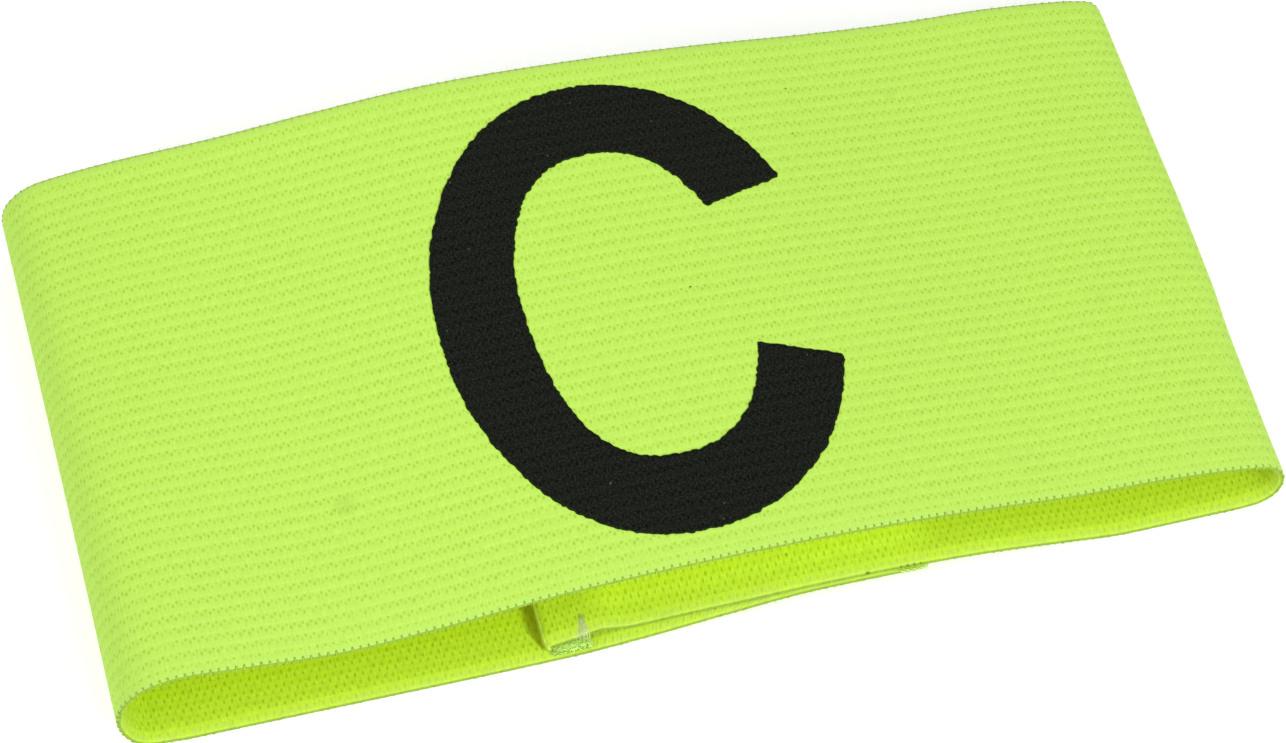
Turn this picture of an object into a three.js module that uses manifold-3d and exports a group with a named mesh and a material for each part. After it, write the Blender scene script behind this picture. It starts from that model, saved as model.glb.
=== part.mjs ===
// Captain armband of wide knitted elastic, closed to a loop by a hook-and-loop patch between its
// overlapping ends and lying flattened, with the rank letter printed on its upper wall.
// Millimetres. +X runs along the flattened loop, +Y along the arm and away from the front opening,
// +Z up. The origin is on the resting surface, under the middle of the part.
import * as THREE from 'three';
import { mergeVertices } from 'three/addons/utils/BufferGeometryUtils.js';
import Module from 'manifold-3d';

const wasm = await Module();
wasm.setup();

// The strip of elastic
const stripWidth = 75;          // along the arm, from selvedge to selvedge
const stripThickness = 1;
const selvedgeThickness = 0.7;  // the strip is thinner at its two long edges
const selvedgeWidth = 1.3;      // from the edge to where the strip has its full thickness
const endCorner = 2.6;          // how far the corners of the plain end are rounded back

// The flattened loop
const loopWidth = 145.4;        // over the two bends, at the front
const backTaper = 0.85;         // the right bend is drawn in this much at the back edge
const backTaperPower = 3;       // how late along the width that taper sets in
const leftWaist = 0.35;         // the left bend is drawn in this much at the middle of the width
const crownHeight = 17.3;       // top of the upper wall above the surface, at its highest
const leftBendReach = 7.8;      // from the bend's tip back to where the strip leaves the surface
const leftBendHeightFront = 15;
const leftBendHeightBack = 13.9;
const rightBendReach = 5.4;
const rightBendHeightFront = 8.8;
const rightBendHeightBack = 5.8;
const rightBendWrap = 0.8;      // share of its half ellipse that the right bend follows
const lowerWallOffset = 0.4;    // how much further forward than the upper wall the lower one lies

// The overlap of the two ends, on the lower wall
const outerEndPlace = 28.4;     // tip of the plain end, right of the loop's middle
const overlapLength = 49;       // from that tip back to the fold of the hem
const archRise = 3;             // how high the overlap arches off the surface
const rampLength = 26;          // in which the strip comes down from the overlap to the surface
const rampLead = 4.6;           // of that, still level past the plain end's tip
const endSkew = 1.4;            // the hemmed end lies this much further back than the plain end
const skewLength = 30;          // in which the strip swings back to there
const hemSkew = 0.6;            // how much of that is left at the hem's cut edge
const hemLength = 5.5;          // from the fold to the cut edge under it
const hemStep = 4;              // in which the strip steps up onto the folded part
const layerGap = 0.15;          // between the layers of the strip where they lie on each other

// The fastener patch
const patchThickness = 0.8;
const patchWidth = 60;          // along the arm
const patchMargin = 3.5;        // from the hem's cut edge and from the plain end's tip
const patchSlope = 4;           // in which the upper layer comes down beside the patch

// The printed letter
const letterPlace = 0.3;        // right of the loop's middle
const letterHeight = 66.3;
const letterWidth = 49;         // as if its round were closed
const letterSideStroke = 10.6;
const letterEndStroke = 10.35;  // at the top and the bottom of the round
const letterOuterFullness = 2.1;   // 2 is an ellipse, and more fills its corners
const letterInnerFullness = 2.33;
const letterFilm = 0.3;
const letterMouthTop = 12.9;    // heights of the mouth's inner corners over the letter's middle
const letterMouthBottom = -8.9;
const letterMouthTopSlope = 0.29;
const letterMouthBottomSlope = -0.37;

const clearance = 0.3;          // between the strip and the patch or the print

const halfWidth = stripWidth / 2;
const halfLoop = loopWidth / 2;
const layerPitch = stripThickness + layerGap;
const hemFold = outerEndPlace - overlapLength;
const hemCut = hemFold + hemLength;

// Crown of the upper wall between the bends. Columns: place as a share of half the loop's width,
// height of the outer face at the front and the back edge as a share of the crown's height.
const crown = [
  { at: -0.79, front: 0.82, back: 0.855 },
  { at: -0.62, front: 0.73, back: 0.885 },
  { at: -0.45, front: 0.77, back: 0.95 },
  { at: -0.25, front: 0.86, back: 1 },
  { at: 0, front: 0.885, back: 0.94 },
  { at: 0.25, front: 0.845, back: 0.8 },
  { at: 0.45, front: 0.765, back: 0.66 },
  { at: 0.62, front: 0.665, back: 0.58 },
  { at: 0.8, front: 0.605, back: 0.49 },
];

// Arch of the lower wall under the overlap. Columns: place as a share of the overlap's length from
// the fold of the hem, height of the lowest face as a share of the arch's rise.
const arch = [
  { at: -0.12, rise: 0 },
  { at: 0.04, rise: 0 },
  { at: 0.25, rise: 0.23 },
  { at: 0.47, rise: 0.67 },
  { at: 0.69, rise: 1 },
  { at: 0.84, rise: 0.95 },
  { at: 1, rise: 0.78 },
  { at: 1.17, rise: 0.5 },
  { at: 1.35, rise: 0.22 },
  { at: 1.5, rise: 0 },
];

// Lines along the strip. Columns: side is the edge that the line belongs to, -1 the front, 1 the
// back and 0 the middle; inset is its distance from that edge; thickness is the strip's own there;
// overPatch is the share of the patch's bulge that the upper layer takes there.
const lines = [
  { side: -1, inset: 0, thickness: selvedgeThickness, overPatch: 0 },
  { side: -1, inset: selvedgeWidth, thickness: stripThickness, overPatch: 0 },
  { side: -1, inset: halfWidth - patchWidth / 2, thickness: stripThickness, overPatch: 1 },
  { side: 0, inset: 0, thickness: stripThickness, overPatch: 1 },
  { side: 1, inset: halfWidth - patchWidth / 2, thickness: stripThickness, overPatch: 1 },
  { side: 1, inset: selvedgeWidth, thickness: stripThickness, overPatch: 0 },
  { side: 1, inset: 0, thickness: selvedgeThickness, overPatch: 0 },
];

// Facets of the curves
const bendFacets = 12;
const crownFacets = 30;
const overlapFacets = 12;
const innerFacets = 32;
const foldFacets = 6;
const underFacets = 2;
const letterFacets = 64;

// Finishes
const elasticFinish = { color: '#c4ef61', roughness: 0.9, metalness: 0 };
const patchFinish = { color: '#1f221b', roughness: 0.95, metalness: 0 };
const printFinish = { color: '#1f221b', roughness: 0.8, metalness: 0 };

const mix = THREE.MathUtils.lerp;
const ramp = (value, from, to) => THREE.MathUtils.smoothstep(value, from, to);

// A column of a table, read between its rows without overshooting them
function between(table, column, at) {
  const last = table.length - 1;
  if (at <= table[0].at) return table[0][column];
  if (at >= table[last].at) return table[last][column];
  const row = table.findIndex((entry) => entry.at > at) - 1;
  const secant = (index) => {
    if (index < 0 || index >= last) return 0;
    return (table[index + 1][column] - table[index][column]) / (table[index + 1].at - table[index].at);
  };
  const slope = (index) => {
    const product = secant(index - 1) * secant(index);
    return product > 0 ? (2 * product) / (secant(index - 1) + secant(index)) : 0;
  };
  const step = table[row + 1].at - table[row].at;
  const share = (at - table[row].at) / step;
  const rest = 1 - share;
  return table[row][column] * (1 + 2 * share) * rest * rest
    + table[row + 1][column] * share * share * (3 - 2 * share)
    + step * share * rest * (slope(row) * rest - slope(row + 1) * share);
}

// Height of the lowest face of the lower wall over the surface, at a place along X
const archHeight = (x) => archRise * between(arch, 'rise', (x - hemFold) / overlapLength);

// Points of a bend from the surface round its tip: the share of half an ellipse that wrap gives
function bendPoints(tip, reach, height, wrap) {
  const points = [];
  for (let step = 0; step <= bendFacets / 2; step += 1) {
    const angle = (Math.PI * wrap * step) / (bendFacets / 2);
    points.push(new THREE.Vector3(
      tip - Math.sign(tip) * reach * (1 - Math.sin(angle)),
      0,
      (height / 2) * (1 - Math.cos(angle)),
    ));
  }
  return points;
}

// Outer face over the left bend, the crown and the right bend, at the front or the back edge
function upperCurve(column, leftHeight, rightHeight) {
  const leftBend = bendPoints(-halfLoop, leftBendReach, leftHeight, 1);
  const rightBend = bendPoints(halfLoop, rightBendReach, rightHeight, rightBendWrap).reverse();
  const top = crown.map((row) => new THREE.Vector3(row.at * halfLoop, 0, row[column] * crownHeight));
  return new THREE.CatmullRomCurve3([...leftBend, ...top, ...rightBend], false, 'centripetal');
}

const frontCurve = upperCurve('front', leftBendHeightFront, rightBendHeightFront);
const backCurve = upperCurve('back', leftBendHeightBack, rightBendHeightBack);

// Steps along the two curves, finer round the bends than over the crown
function upperSteps() {
  const bendSpans = bendFacets / 2;
  const crownSpans = crown.length + 1;
  const spans = 2 * bendSpans + crownSpans;
  const steps = [];
  const stretch = (from, length, facets) => {
    for (let step = 0; step < facets; step += 1) steps.push(from + (step / facets) * length);
  };
  stretch(0, bendSpans, bendFacets);
  stretch(bendSpans, crownSpans, crownFacets);
  stretch(bendSpans + crownSpans, bendSpans, bendFacets);
  return [...steps, spans].map((step) => step / spans);
}

const places = upperSteps();

// Outer face of the upper half at a share of the way from the front to the back edge
function upperPoint(place, depth) {
  const point = frontCurve.getPoint(place).lerp(backCurve.getPoint(place), depth);
  const waist = leftWaist * (1 - (2 * depth - 1) ** 2);
  const drawnIn = point.x < 0 ? waist : backTaper * depth ** backTaperPower;
  point.x *= 1 - drawnIn / halfLoop;
  return point;
}

// Unit vectors across a path, on its left: the outside of the loop, since the path runs clockwise
function outwards(path) {
  return path.map((point, index) => {
    const before = path[Math.max(index - 1, 0)];
    const after = path[Math.min(index + 1, path.length - 1)];
    return new THREE.Vector3(before.z - after.z, 0, after.x - before.x).normalize();
  });
}

const depthOf = (line) => (1 + line.side * (1 - line.inset / halfWidth)) / 2;

// Middle of the strip's thickness along one of its lines, from the plain end to the hem's cut edge
function middlePath(line) {
  const depth = depthOf(line);
  const acrossY = mix(-halfWidth, halfWidth, depth);
  const halfThickness = stripThickness / 2;
  const path = [];
  const put = (x, z, back = 0) => {
    path.push(new THREE.Vector3(x, acrossY - lowerWallOffset + back, z + halfThickness));
  };

  // Plain end, resting on the surface and arched under the overlap
  const fromCorner = Math.abs(line.side) * Math.max(0, 1 - line.inset / endCorner);
  const outerEnd = outerEndPlace - endCorner * (1 - Math.sqrt(1 - fromCorner ** 2));
  const archFoot = hemFold + arch[0].at * overlapLength;
  for (let step = 0; step <= overlapFacets; step += 1) {
    const x = mix(outerEnd, archFoot, step / overlapFacets);
    put(x, archHeight(x));
  }

  // Left bend, crown and right bend
  const outer = places.map((place) => upperPoint(place, depth));
  const normals = outwards(outer);
  normals[0].set(0, 0, -1);
  normals[normals.length - 1].set(0, 0, -1);
  outer.forEach((point, index) => {
    const middle = point.clone().addScaledVector(normals[index], -halfThickness);
    const forward = point.x < 0 ? 0 : lowerWallOffset * (1 - ramp(point.z, 0, rightBendHeightBack));
    path.push(middle.setY(acrossY - forward));
  });

  // Back along the surface and over the plain end, up to the fold of the hem
  const rampStart = outerEndPlace + rampLength;
  const foldRadius = layerPitch / 2;
  const foldCentre = hemFold + halfThickness + foldRadius;
  const patchStart = hemCut + patchMargin;
  const patchEnd = outerEndPlace - patchMargin;
  for (let step = 0; step <= innerFacets; step += 1) {
    const x = mix(rampStart, foldCentre, step / innerFacets);
    const overEnd = 1 - ramp(x, outerEndPlace + rampLead, rampStart);
    const overHem = 1 - ramp(x, hemCut + layerPitch, hemCut + layerPitch + hemStep);
    const upToPatch = ramp(x, patchStart - patchSlope, patchStart);
    const pastPatch = ramp(x, patchEnd, patchEnd + patchSlope);
    const overPatch = upToPatch * (1 - pastPatch);
    const bulge = (patchThickness + 2 * clearance - layerGap) * overPatch * line.overPatch;
    const back = endSkew * (1 - ramp(x, hemCut, hemCut + skewLength));
    put(x, archHeight(x) + layerPitch * (overEnd + overHem) + bulge, back);
  }

  // Round the fold and back under the hem
  const foldHeight = archHeight(foldCentre) + layerPitch + foldRadius;
  for (let step = 1; step <= foldFacets; step += 1) {
    const angle = (Math.PI * step) / foldFacets;
    const back = mix(endSkew, hemSkew, step / foldFacets);
    put(foldCentre - foldRadius * Math.sin(angle), foldHeight + foldRadius * Math.cos(angle), back);
  }
  for (let step = 1; step <= underFacets; step += 1) {
    const x = mix(foldCentre, hemCut, step / underFacets);
    put(x, archHeight(x) + layerPitch, hemSkew);
  }
  return path;
}

// Closed body between two equal grids of points, an outer one and an inner one, whose rows follow
// each other from the front to the back and whose columns run with the strip
function bodyBetween(outer, inner) {
  const rows = outer.length;
  const columns = outer[0].length;
  const positions = [];
  const faces = [];
  [...outer.flat(), ...inner.flat()].forEach((point) => positions.push(point.x, point.y, point.z));
  const outerAt = (row, column) => row * columns + column;
  const innerAt = (row, column) => rows * columns + row * columns + column;
  const quad = (a, b, c, d) => faces.push(a, c, b, a, d, c);
  for (let row = 0; row < rows - 1; row += 1) {
    const next = row + 1;
    for (let column = 0; column < columns - 1; column += 1) {
      const along = column + 1;
      quad(outerAt(row, column), outerAt(next, column), outerAt(next, along), outerAt(row, along));
      quad(innerAt(row, column), innerAt(row, along), innerAt(next, along), innerAt(next, column));
    }
  }
  for (let column = 0; column < columns - 1; column += 1) {
    const end = rows - 1;
    quad(outerAt(0, column), outerAt(0, column + 1), innerAt(0, column + 1), innerAt(0, column));
    quad(outerAt(end, column + 1), outerAt(end, column), innerAt(end, column), innerAt(end, column + 1));
  }
  for (let row = 0; row < rows - 1; row += 1) {
    const end = columns - 1;
    quad(outerAt(row + 1, 0), outerAt(row, 0), innerAt(row, 0), innerAt(row + 1, 0));
    quad(outerAt(row, end), outerAt(row + 1, end), innerAt(row + 1, end), innerAt(row, end));
  }
  const geometry = new THREE.BufferGeometry();
  geometry.setAttribute('position', new THREE.Float32BufferAttribute(positions, 3));
  geometry.setIndex(faces);
  return geometry;
}

// The whole strip as one body: a grid of lines along it, each with its own path and thickness
function elasticBand() {
  const outer = [];
  const inner = [];
  lines.forEach((line) => {
    const path = middlePath(line);
    const normals = outwards(path);
    const face = (side) => path.map((point, index) => (
      point.clone().addScaledVector(normals[index], (side * line.thickness) / 2)
    ));
    outer.push(face(1));
    inner.push(face(-1));
  });
  return bodyBetween(outer, inner);
}

// The fastener patch, lying on the plain end and arched with it
function fastenerPatch() {
  const from = hemCut + patchMargin;
  const to = outerEndPlace - patchMargin;
  const side = (acrossY, raise) => {
    const points = [];
    for (let step = 0; step <= overlapFacets; step += 1) {
      const x = mix(from, to, step / overlapFacets);
      points.push(new THREE.Vector3(x, acrossY, archHeight(x) + stripThickness + clearance + raise));
    }
    return points;
  };
  const half = patchWidth / 2;
  return bodyBetween(
    [side(-half, patchThickness), side(half, patchThickness)],
    [side(-half, 0), side(half, 0)],
  );
}

function solidOf(geometry) {
  const bare = geometry.clone();
  bare.deleteAttribute('normal');
  bare.deleteAttribute('uv');
  const merged = mergeVertices(bare);
  return new wasm.Manifold(new wasm.Mesh({
    numProp: 3,
    vertProperties: new Float32Array(merged.attributes.position.array),
    triVerts: new Uint32Array(merged.index.array),
  }));
}

function geometryOf(solid) {
  const mesh = solid.getMesh();
  const geometry = new THREE.BufferGeometry();
  geometry.setAttribute('position', new THREE.Float32BufferAttribute(mesh.vertProperties, 3));
  geometry.setIndex([...mesh.triVerts]);
  return geometry;
}

// A rounded oval of the letter: a circle's formula with an exponent a little over 2
function oval(halfAcross, halfUp, fullness) {
  const points = [];
  for (let step = 0; step < letterFacets; step += 1) {
    const angle = (2 * Math.PI * step) / letterFacets;
    const across = Math.sign(Math.cos(angle)) * Math.abs(Math.cos(angle)) ** (2 / fullness);
    const up = Math.sign(Math.sin(angle)) * Math.abs(Math.sin(angle)) ** (2 / fullness);
    points.push(new THREE.Vector2(letterPlace + halfAcross * across, halfUp * up));
  }
  return new THREE.Shape(points);
}

// The letter: an oval ring cut open on its right by a mouth with two straight, sloping sides, and
// pressed onto the crown as a thin film
function printedLetter() {
  const halfAcross = letterWidth / 2;
  const halfUp = letterHeight / 2;
  const innerAcross = halfAcross - letterSideStroke;
  const innerUp = halfUp - letterEndStroke;
  const cut = { depth: 2 * crownHeight, bevelEnabled: false };
  const prism = (shape) => solidOf(new THREE.ExtrudeGeometry(shape, cut));
  const round = prism(oval(halfAcross, halfUp, letterOuterFullness));
  const counter = prism(oval(innerAcross, innerUp, letterInnerFullness));

  const cornerPlace = letterPlace + innerAcross;
  const mouthSide = (x, height, slope) => new THREE.Vector2(x, height + slope * (x - cornerPlace));
  const mouth = prism(new THREE.Shape([
    new THREE.Vector2(0, 0),
    mouthSide(cornerPlace / 2, letterMouthBottom, letterMouthBottomSlope),
    mouthSide(letterWidth, letterMouthBottom, letterMouthBottomSlope),
    mouthSide(letterWidth, letterMouthTop, letterMouthTopSlope),
    mouthSide(cornerPlace / 2, letterMouthTop, letterMouthTopSlope),
  ]));

  const overCrown = places.slice(bendFacets, bendFacets + crownFacets);
  const sheet = (raise) => lines.map((line) => {
    const depth = depthOf(line);
    return overCrown.map((place) => {
      const point = upperPoint(place, depth);
      return new THREE.Vector3(point.x, mix(-halfWidth, halfWidth, depth), point.z + raise);
    });
  });
  const film = solidOf(bodyBetween(sheet(clearance + letterFilm), sheet(clearance)));
  return geometryOf(film.intersect(round.subtract(counter).subtract(mouth)));
}

function piece(name, geometry, finish) {
  const flat = geometry.toNonIndexed();
  flat.computeVertexNormals();
  const mesh = new THREE.Mesh(flat, new THREE.MeshStandardMaterial(finish));
  mesh.name = name;
  return mesh;
}

const armband = new THREE.Group();
armband.add(piece('elastic_band', elasticBand(), elasticFinish));
armband.add(piece('hook_and_loop_patch', fastenerPatch(), patchFinish));
armband.add(piece('printed_letter', printedLetter(), printFinish));

// Centred along the arm between the front edge of the lower wall and the back edge of the hemmed end
armband.position.y = lowerWallOffset - endSkew / 2;

export default armband;
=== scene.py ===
import math

import bpy
import numpy as np
from mathutils import Matrix, Vector
from mathutils.kdtree import KDTree


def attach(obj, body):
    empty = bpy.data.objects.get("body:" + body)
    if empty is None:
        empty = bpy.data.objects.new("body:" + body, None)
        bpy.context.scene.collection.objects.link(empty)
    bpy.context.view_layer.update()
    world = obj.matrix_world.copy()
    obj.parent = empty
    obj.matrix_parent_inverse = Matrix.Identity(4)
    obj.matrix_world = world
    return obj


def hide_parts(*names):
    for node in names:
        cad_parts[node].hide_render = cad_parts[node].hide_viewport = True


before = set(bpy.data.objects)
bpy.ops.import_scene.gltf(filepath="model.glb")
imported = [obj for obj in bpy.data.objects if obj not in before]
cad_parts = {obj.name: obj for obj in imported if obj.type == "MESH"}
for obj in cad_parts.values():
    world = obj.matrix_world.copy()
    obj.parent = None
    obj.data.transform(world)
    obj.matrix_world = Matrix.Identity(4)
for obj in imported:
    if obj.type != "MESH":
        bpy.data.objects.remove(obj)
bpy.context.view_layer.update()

# The strip of elastic
STRIP_WIDTH = 0.075
STRIP_THICKNESS = 0.001
SELVEDGE_THICKNESS = 0.0005
SELVEDGE_WIDTH = 0.0013
SELVEDGE_INNER_SHARE = 0.8     # of the thinning that lies on the inner side
LEAST_EDGE = 0.3               # share of the thickness that is left at the very edge
END_CORNER = 0.0026

# The flattened loop
LOOP_WIDTH = 0.1454
BACK_TAPER = 0.00085
BACK_TAPER_POWER = 3
LEFT_WAIST = 0.0001
CROWN_HEIGHT = 0.0173
LEFT_BEND_REACH = 0.0078
LEFT_BEND_HEIGHT = {"front": 0.015, "back": 0.0139}
LEFT_BEND_FULLNESS = 0.6      # of the bend's lower half, under 1 for fuller than an ellipse
RIGHT_BEND_REACH = 0.0054
RIGHT_BEND_HEIGHT = {"front": 0.0088, "back": 0.0066}
RIGHT_BEND_WRAP = 0.8
RIGHT_BEND_FULLNESS = 0.85
LOWER_WALL_OFFSET = 0.0004

# The overlap of the two ends
OUTER_END_PLACE = 0.0284
OVERLAP_LENGTH = 0.049
ARCH_RISE = 0.003
RAMP_LENGTH = 0.026
RAMP_LEAD = 0.0046
END_SKEW = 0.0014
SKEW_LENGTH = 0.03
HEM_SKEW = -0.0002
HEM_PULL = 0.0008              # how far the tack pulls the hem's corner to the front
HEM_PULL_LENGTH = 0.009
HEM_LENGTH = 0.0055
HEM_STEP = 0.004
HIGHLIGHT_STEP = 0.00035           # from the outermost line of the hem's fold to the painted highlight on its ridge
LAYER_GAP = 0.00015

# The fastener patch
PATCH_THICKNESS = 0.0008
PATCH_WIDTH = 0.06
PATCH_MARGIN = 0.0035
PATCH_SLOPE = 0.004
CLEARANCE = 0.0003

# The printed letter
LETTER_PLACE = 0.0003
LETTER_HEIGHT = 0.0663
LETTER_WIDTH = 0.049
LETTER_SIDE_STROKE = 0.0106
LETTER_END_STROKE = 0.01035
LETTER_OUTER_FULLNESS = 2.1
LETTER_INNER_FULLNESS = 2.33
LETTER_MOUTH_TOP = 0.0129
LETTER_MOUTH_BOTTOM = -0.0089
LETTER_MOUTH_TOP_SLOPE = 0.29
LETTER_MOUTH_BOTTOM_SLOPE = -0.37

HALF_WIDTH = STRIP_WIDTH / 2
HALF_LOOP = LOOP_WIDTH / 2
HALF_THICKNESS = STRIP_THICKNESS / 2
LAYER_PITCH = STRIP_THICKNESS + LAYER_GAP
HEM_FOLD = OUTER_END_PLACE - OVERLAP_LENGTH
HEM_CUT = HEM_FOLD + HEM_LENGTH
CENTRE_SHIFT = LOWER_WALL_OFFSET - END_SKEW / 2

# The knit
RIB_PITCH = 0.001755
GROOVE_SHIFT = 0.00066         # of a groove from the strip's middle
RIB_RELIEF = 0.000013          # from the top of a rib down to the groove
STITCH_PITCH = 0.001
LINES_PER_RIB = 4
RIBBED_MARGIN = 0.85 * SELVEDGE_WIDTH
EDGE_INSETS = [0.00075, 0.0004, 0.0002, 0.00007, 0]      # of the mesh's lines at a selvedge

# Crown of the upper wall. Columns: place as a share of half the loop's width, height of the outer
# face at the front and the back edge as a share of the crown's height.
CROWN = [
    {"at": -0.79, "front": 0.82, "back": 0.85},
    {"at": -0.62, "front": 0.73, "back": 0.88},
    {"at": -0.45, "front": 0.77, "back": 0.942},
    {"at": -0.25, "front": 0.86, "back": 0.992},
    {"at": 0.0, "front": 0.885, "back": 0.932},
    {"at": 0.25, "front": 0.845, "back": 0.797},
    {"at": 0.45, "front": 0.765, "back": 0.652},
    {"at": 0.62, "front": 0.665, "back": 0.557},
    {"at": 0.8, "front": 0.605, "back": 0.493},
]

# Arch of the lower wall under the overlap. Columns: place as a share of the overlap's length from
# the fold of the hem, height as a share of the arch's rise.
ARCH = [
    {"at": -0.12, "rise": 0.0},
    {"at": 0.04, "rise": 0.0},
    {"at": 0.25, "rise": 0.23},
    {"at": 0.47, "rise": 0.67},
    {"at": 0.69, "rise": 1.0},
    {"at": 0.84, "rise": 0.95},
    {"at": 1.0, "rise": 0.78},
    {"at": 1.17, "rise": 0.5},
    {"at": 1.35, "rise": 0.22},
    {"at": 1.5, "rise": 0.0},
]

# How far the right bend's tip strays outwards. Columns: depth as a share of the way from the front
# to the back edge, distance.
RIGHT_STRAY = [
    {"at": 0.0, "stray": 0.0},
    {"at": 0.1, "stray": -0.0001},
    {"at": 0.28, "stray": -0.0001},
    {"at": 0.4, "stray": 0.0002},
    {"at": 0.55, "stray": 0.00022},
    {"at": 0.72, "stray": 0.00005},
    {"at": 1.0, "stray": 0.0001},
]

# Seeds of the random draws
SEEDS = {"selvedge": 5, "fuzz": 31, "tack": 21, "fray": 8, "print": 11}

# Steps of the strip's mesh along each stretch
BEND_POINTS = 6
BEND_STEPS = 30
CROWN_STEPS = 80
PLAIN_END_STEPS = 38
INNER_STEPS = 48
FOLD_STEPS = 10
UNDER_STEPS = 4


# Shape of the strip

def smooth(value, start, end):
    """From 0 at start to 1 at end, level at both."""
    share = np.clip((value - start) / (end - start), 0, 1)
    return share * share * (3 - 2 * share)


def between(rows, column, at):
    """A column of a table, read between its rows without overshooting them."""
    places = np.array([row["at"] for row in rows])
    values = np.array([row[column] for row in rows])
    secants = np.diff(values) / np.diff(places)
    product = secants[:-1] * secants[1:]
    total = np.where(product > 0, secants[:-1] + secants[1:], 1)
    slopes = np.concatenate([[0], np.where(product > 0, 2 * product / total, 0), [0]])
    at = np.clip(at, places[0], places[-1])
    row = np.clip(np.searchsorted(places, at, side="right") - 1, 0, len(places) - 2)
    step = places[row + 1] - places[row]
    share = (at - places[row]) / step
    rest = 1 - share
    ends = values[row] * (1 + 2 * share) * rest**2 + values[row + 1] * share**2 * (3 - 2 * share)
    return ends + step * share * rest * (slopes[row] * rest - slopes[row + 1] * share)


def lengths_along(points):
    """Length of a line through points, up to each of them."""
    return np.concatenate([[0], np.cumsum(np.linalg.norm(np.diff(points, axis=0), axis=1))])


def arch_height(x):
    return ARCH_RISE * between(ARCH, "rise", (x - HEM_FOLD) / OVERLAP_LENGTH)


def bend_points(tip, reach, height, wrap, fullness):
    """Points from the surface round a bend's tip, on the share of half an ellipse that wrap gives."""
    angle = np.pi * wrap * np.linspace(0, 1, BEND_POINTS + 1)
    swell = np.sin(angle) ** np.where(angle < np.pi / 2, fullness, 1)
    x = tip - np.sign(tip) * reach * (1 - swell)
    return np.stack([x, height / 2 * (1 - np.cos(angle))], axis=1)


def upper_points(edge):
    """Points of the outer face over the left bend, the crown and the right bend, at one edge."""
    left = bend_points(-HALF_LOOP, LEFT_BEND_REACH, LEFT_BEND_HEIGHT[edge], 1, LEFT_BEND_FULLNESS)
    right = bend_points(
        HALF_LOOP, RIGHT_BEND_REACH, RIGHT_BEND_HEIGHT[edge], RIGHT_BEND_WRAP, RIGHT_BEND_FULLNESS)
    top = np.array([[row["at"] * HALF_LOOP, row[edge] * CROWN_HEIGHT] for row in CROWN])
    return np.vstack([left, top, right[::-1]])


def smooth_curve(points, places):
    """Points of a centripetal curve through the given ones, at places from 0 to 1."""
    spans = len(points) - 1
    padded = np.vstack([2 * points[0] - points[1], points, 2 * points[-1] - points[-2]])
    span = np.minimum(np.floor(places * spans), spans - 1).astype(int)
    share = (places * spans - span)[:, None]
    before, start, end, after = (padded[span + offset] for offset in range(4))
    root = [np.sqrt(np.linalg.norm(b - a, axis=1, keepdims=True))
            for a, b in ((before, start), (start, end), (end, after))]
    leave = (start - before) / root[0] - (end - before) / (root[0] + root[1]) + (end - start) / root[1]
    arrive = (end - start) / root[1] - (after - start) / (root[1] + root[2]) + (after - end) / root[2]
    leave *= root[1]
    arrive *= root[1]
    square = 3 * (end - start) - 2 * leave - arrive
    cube = 2 * (start - end) + leave + arrive
    return start + share * (leave + share * (square + share * cube))


def upper_places():
    """Places along the upper curves, finer round the bends than over the crown."""
    crown_spans = len(CROWN) + 1
    spans = 2 * BEND_POINTS + crown_spans
    left = np.linspace(0, BEND_POINTS, BEND_STEPS, endpoint=False)
    top = BEND_POINTS + np.linspace(0, crown_spans, CROWN_STEPS, endpoint=False)
    right = BEND_POINTS + crown_spans + np.linspace(0, BEND_POINTS, BEND_STEPS + 1)
    return np.concatenate([left, top, right]) / spans


PLACES = upper_places()
FRONT_CURVE = smooth_curve(upper_points("front"), PLACES)
BACK_CURVE = smooth_curve(upper_points("back"), PLACES)


def upper_face(depth):
    """Outer face of the upper half, at a share of the way from the front to the back edge."""
    points = FRONT_CURVE * (1 - depth) + BACK_CURVE * depth
    waist = LEFT_WAIST * (1 - (2 * depth - 1) ** 2)
    taper = BACK_TAPER * depth**BACK_TAPER_POWER - between(RIGHT_STRAY, "stray", depth)
    points[:, 0] *= 1 - np.where(points[:, 0] < 0, waist, taper) / HALF_LOOP
    return points


def outwards(x, z):
    """Unit vectors across a path in X and Z, on the loop's outside."""
    before = np.maximum(np.arange(len(x)) - 1, 0)
    after = np.minimum(np.arange(len(x)) + 1, len(x) - 1)
    across = np.stack([z[before] - z[after], x[after] - x[before]], axis=1)
    return across / np.linalg.norm(across, axis=1, keepdims=True)


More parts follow.
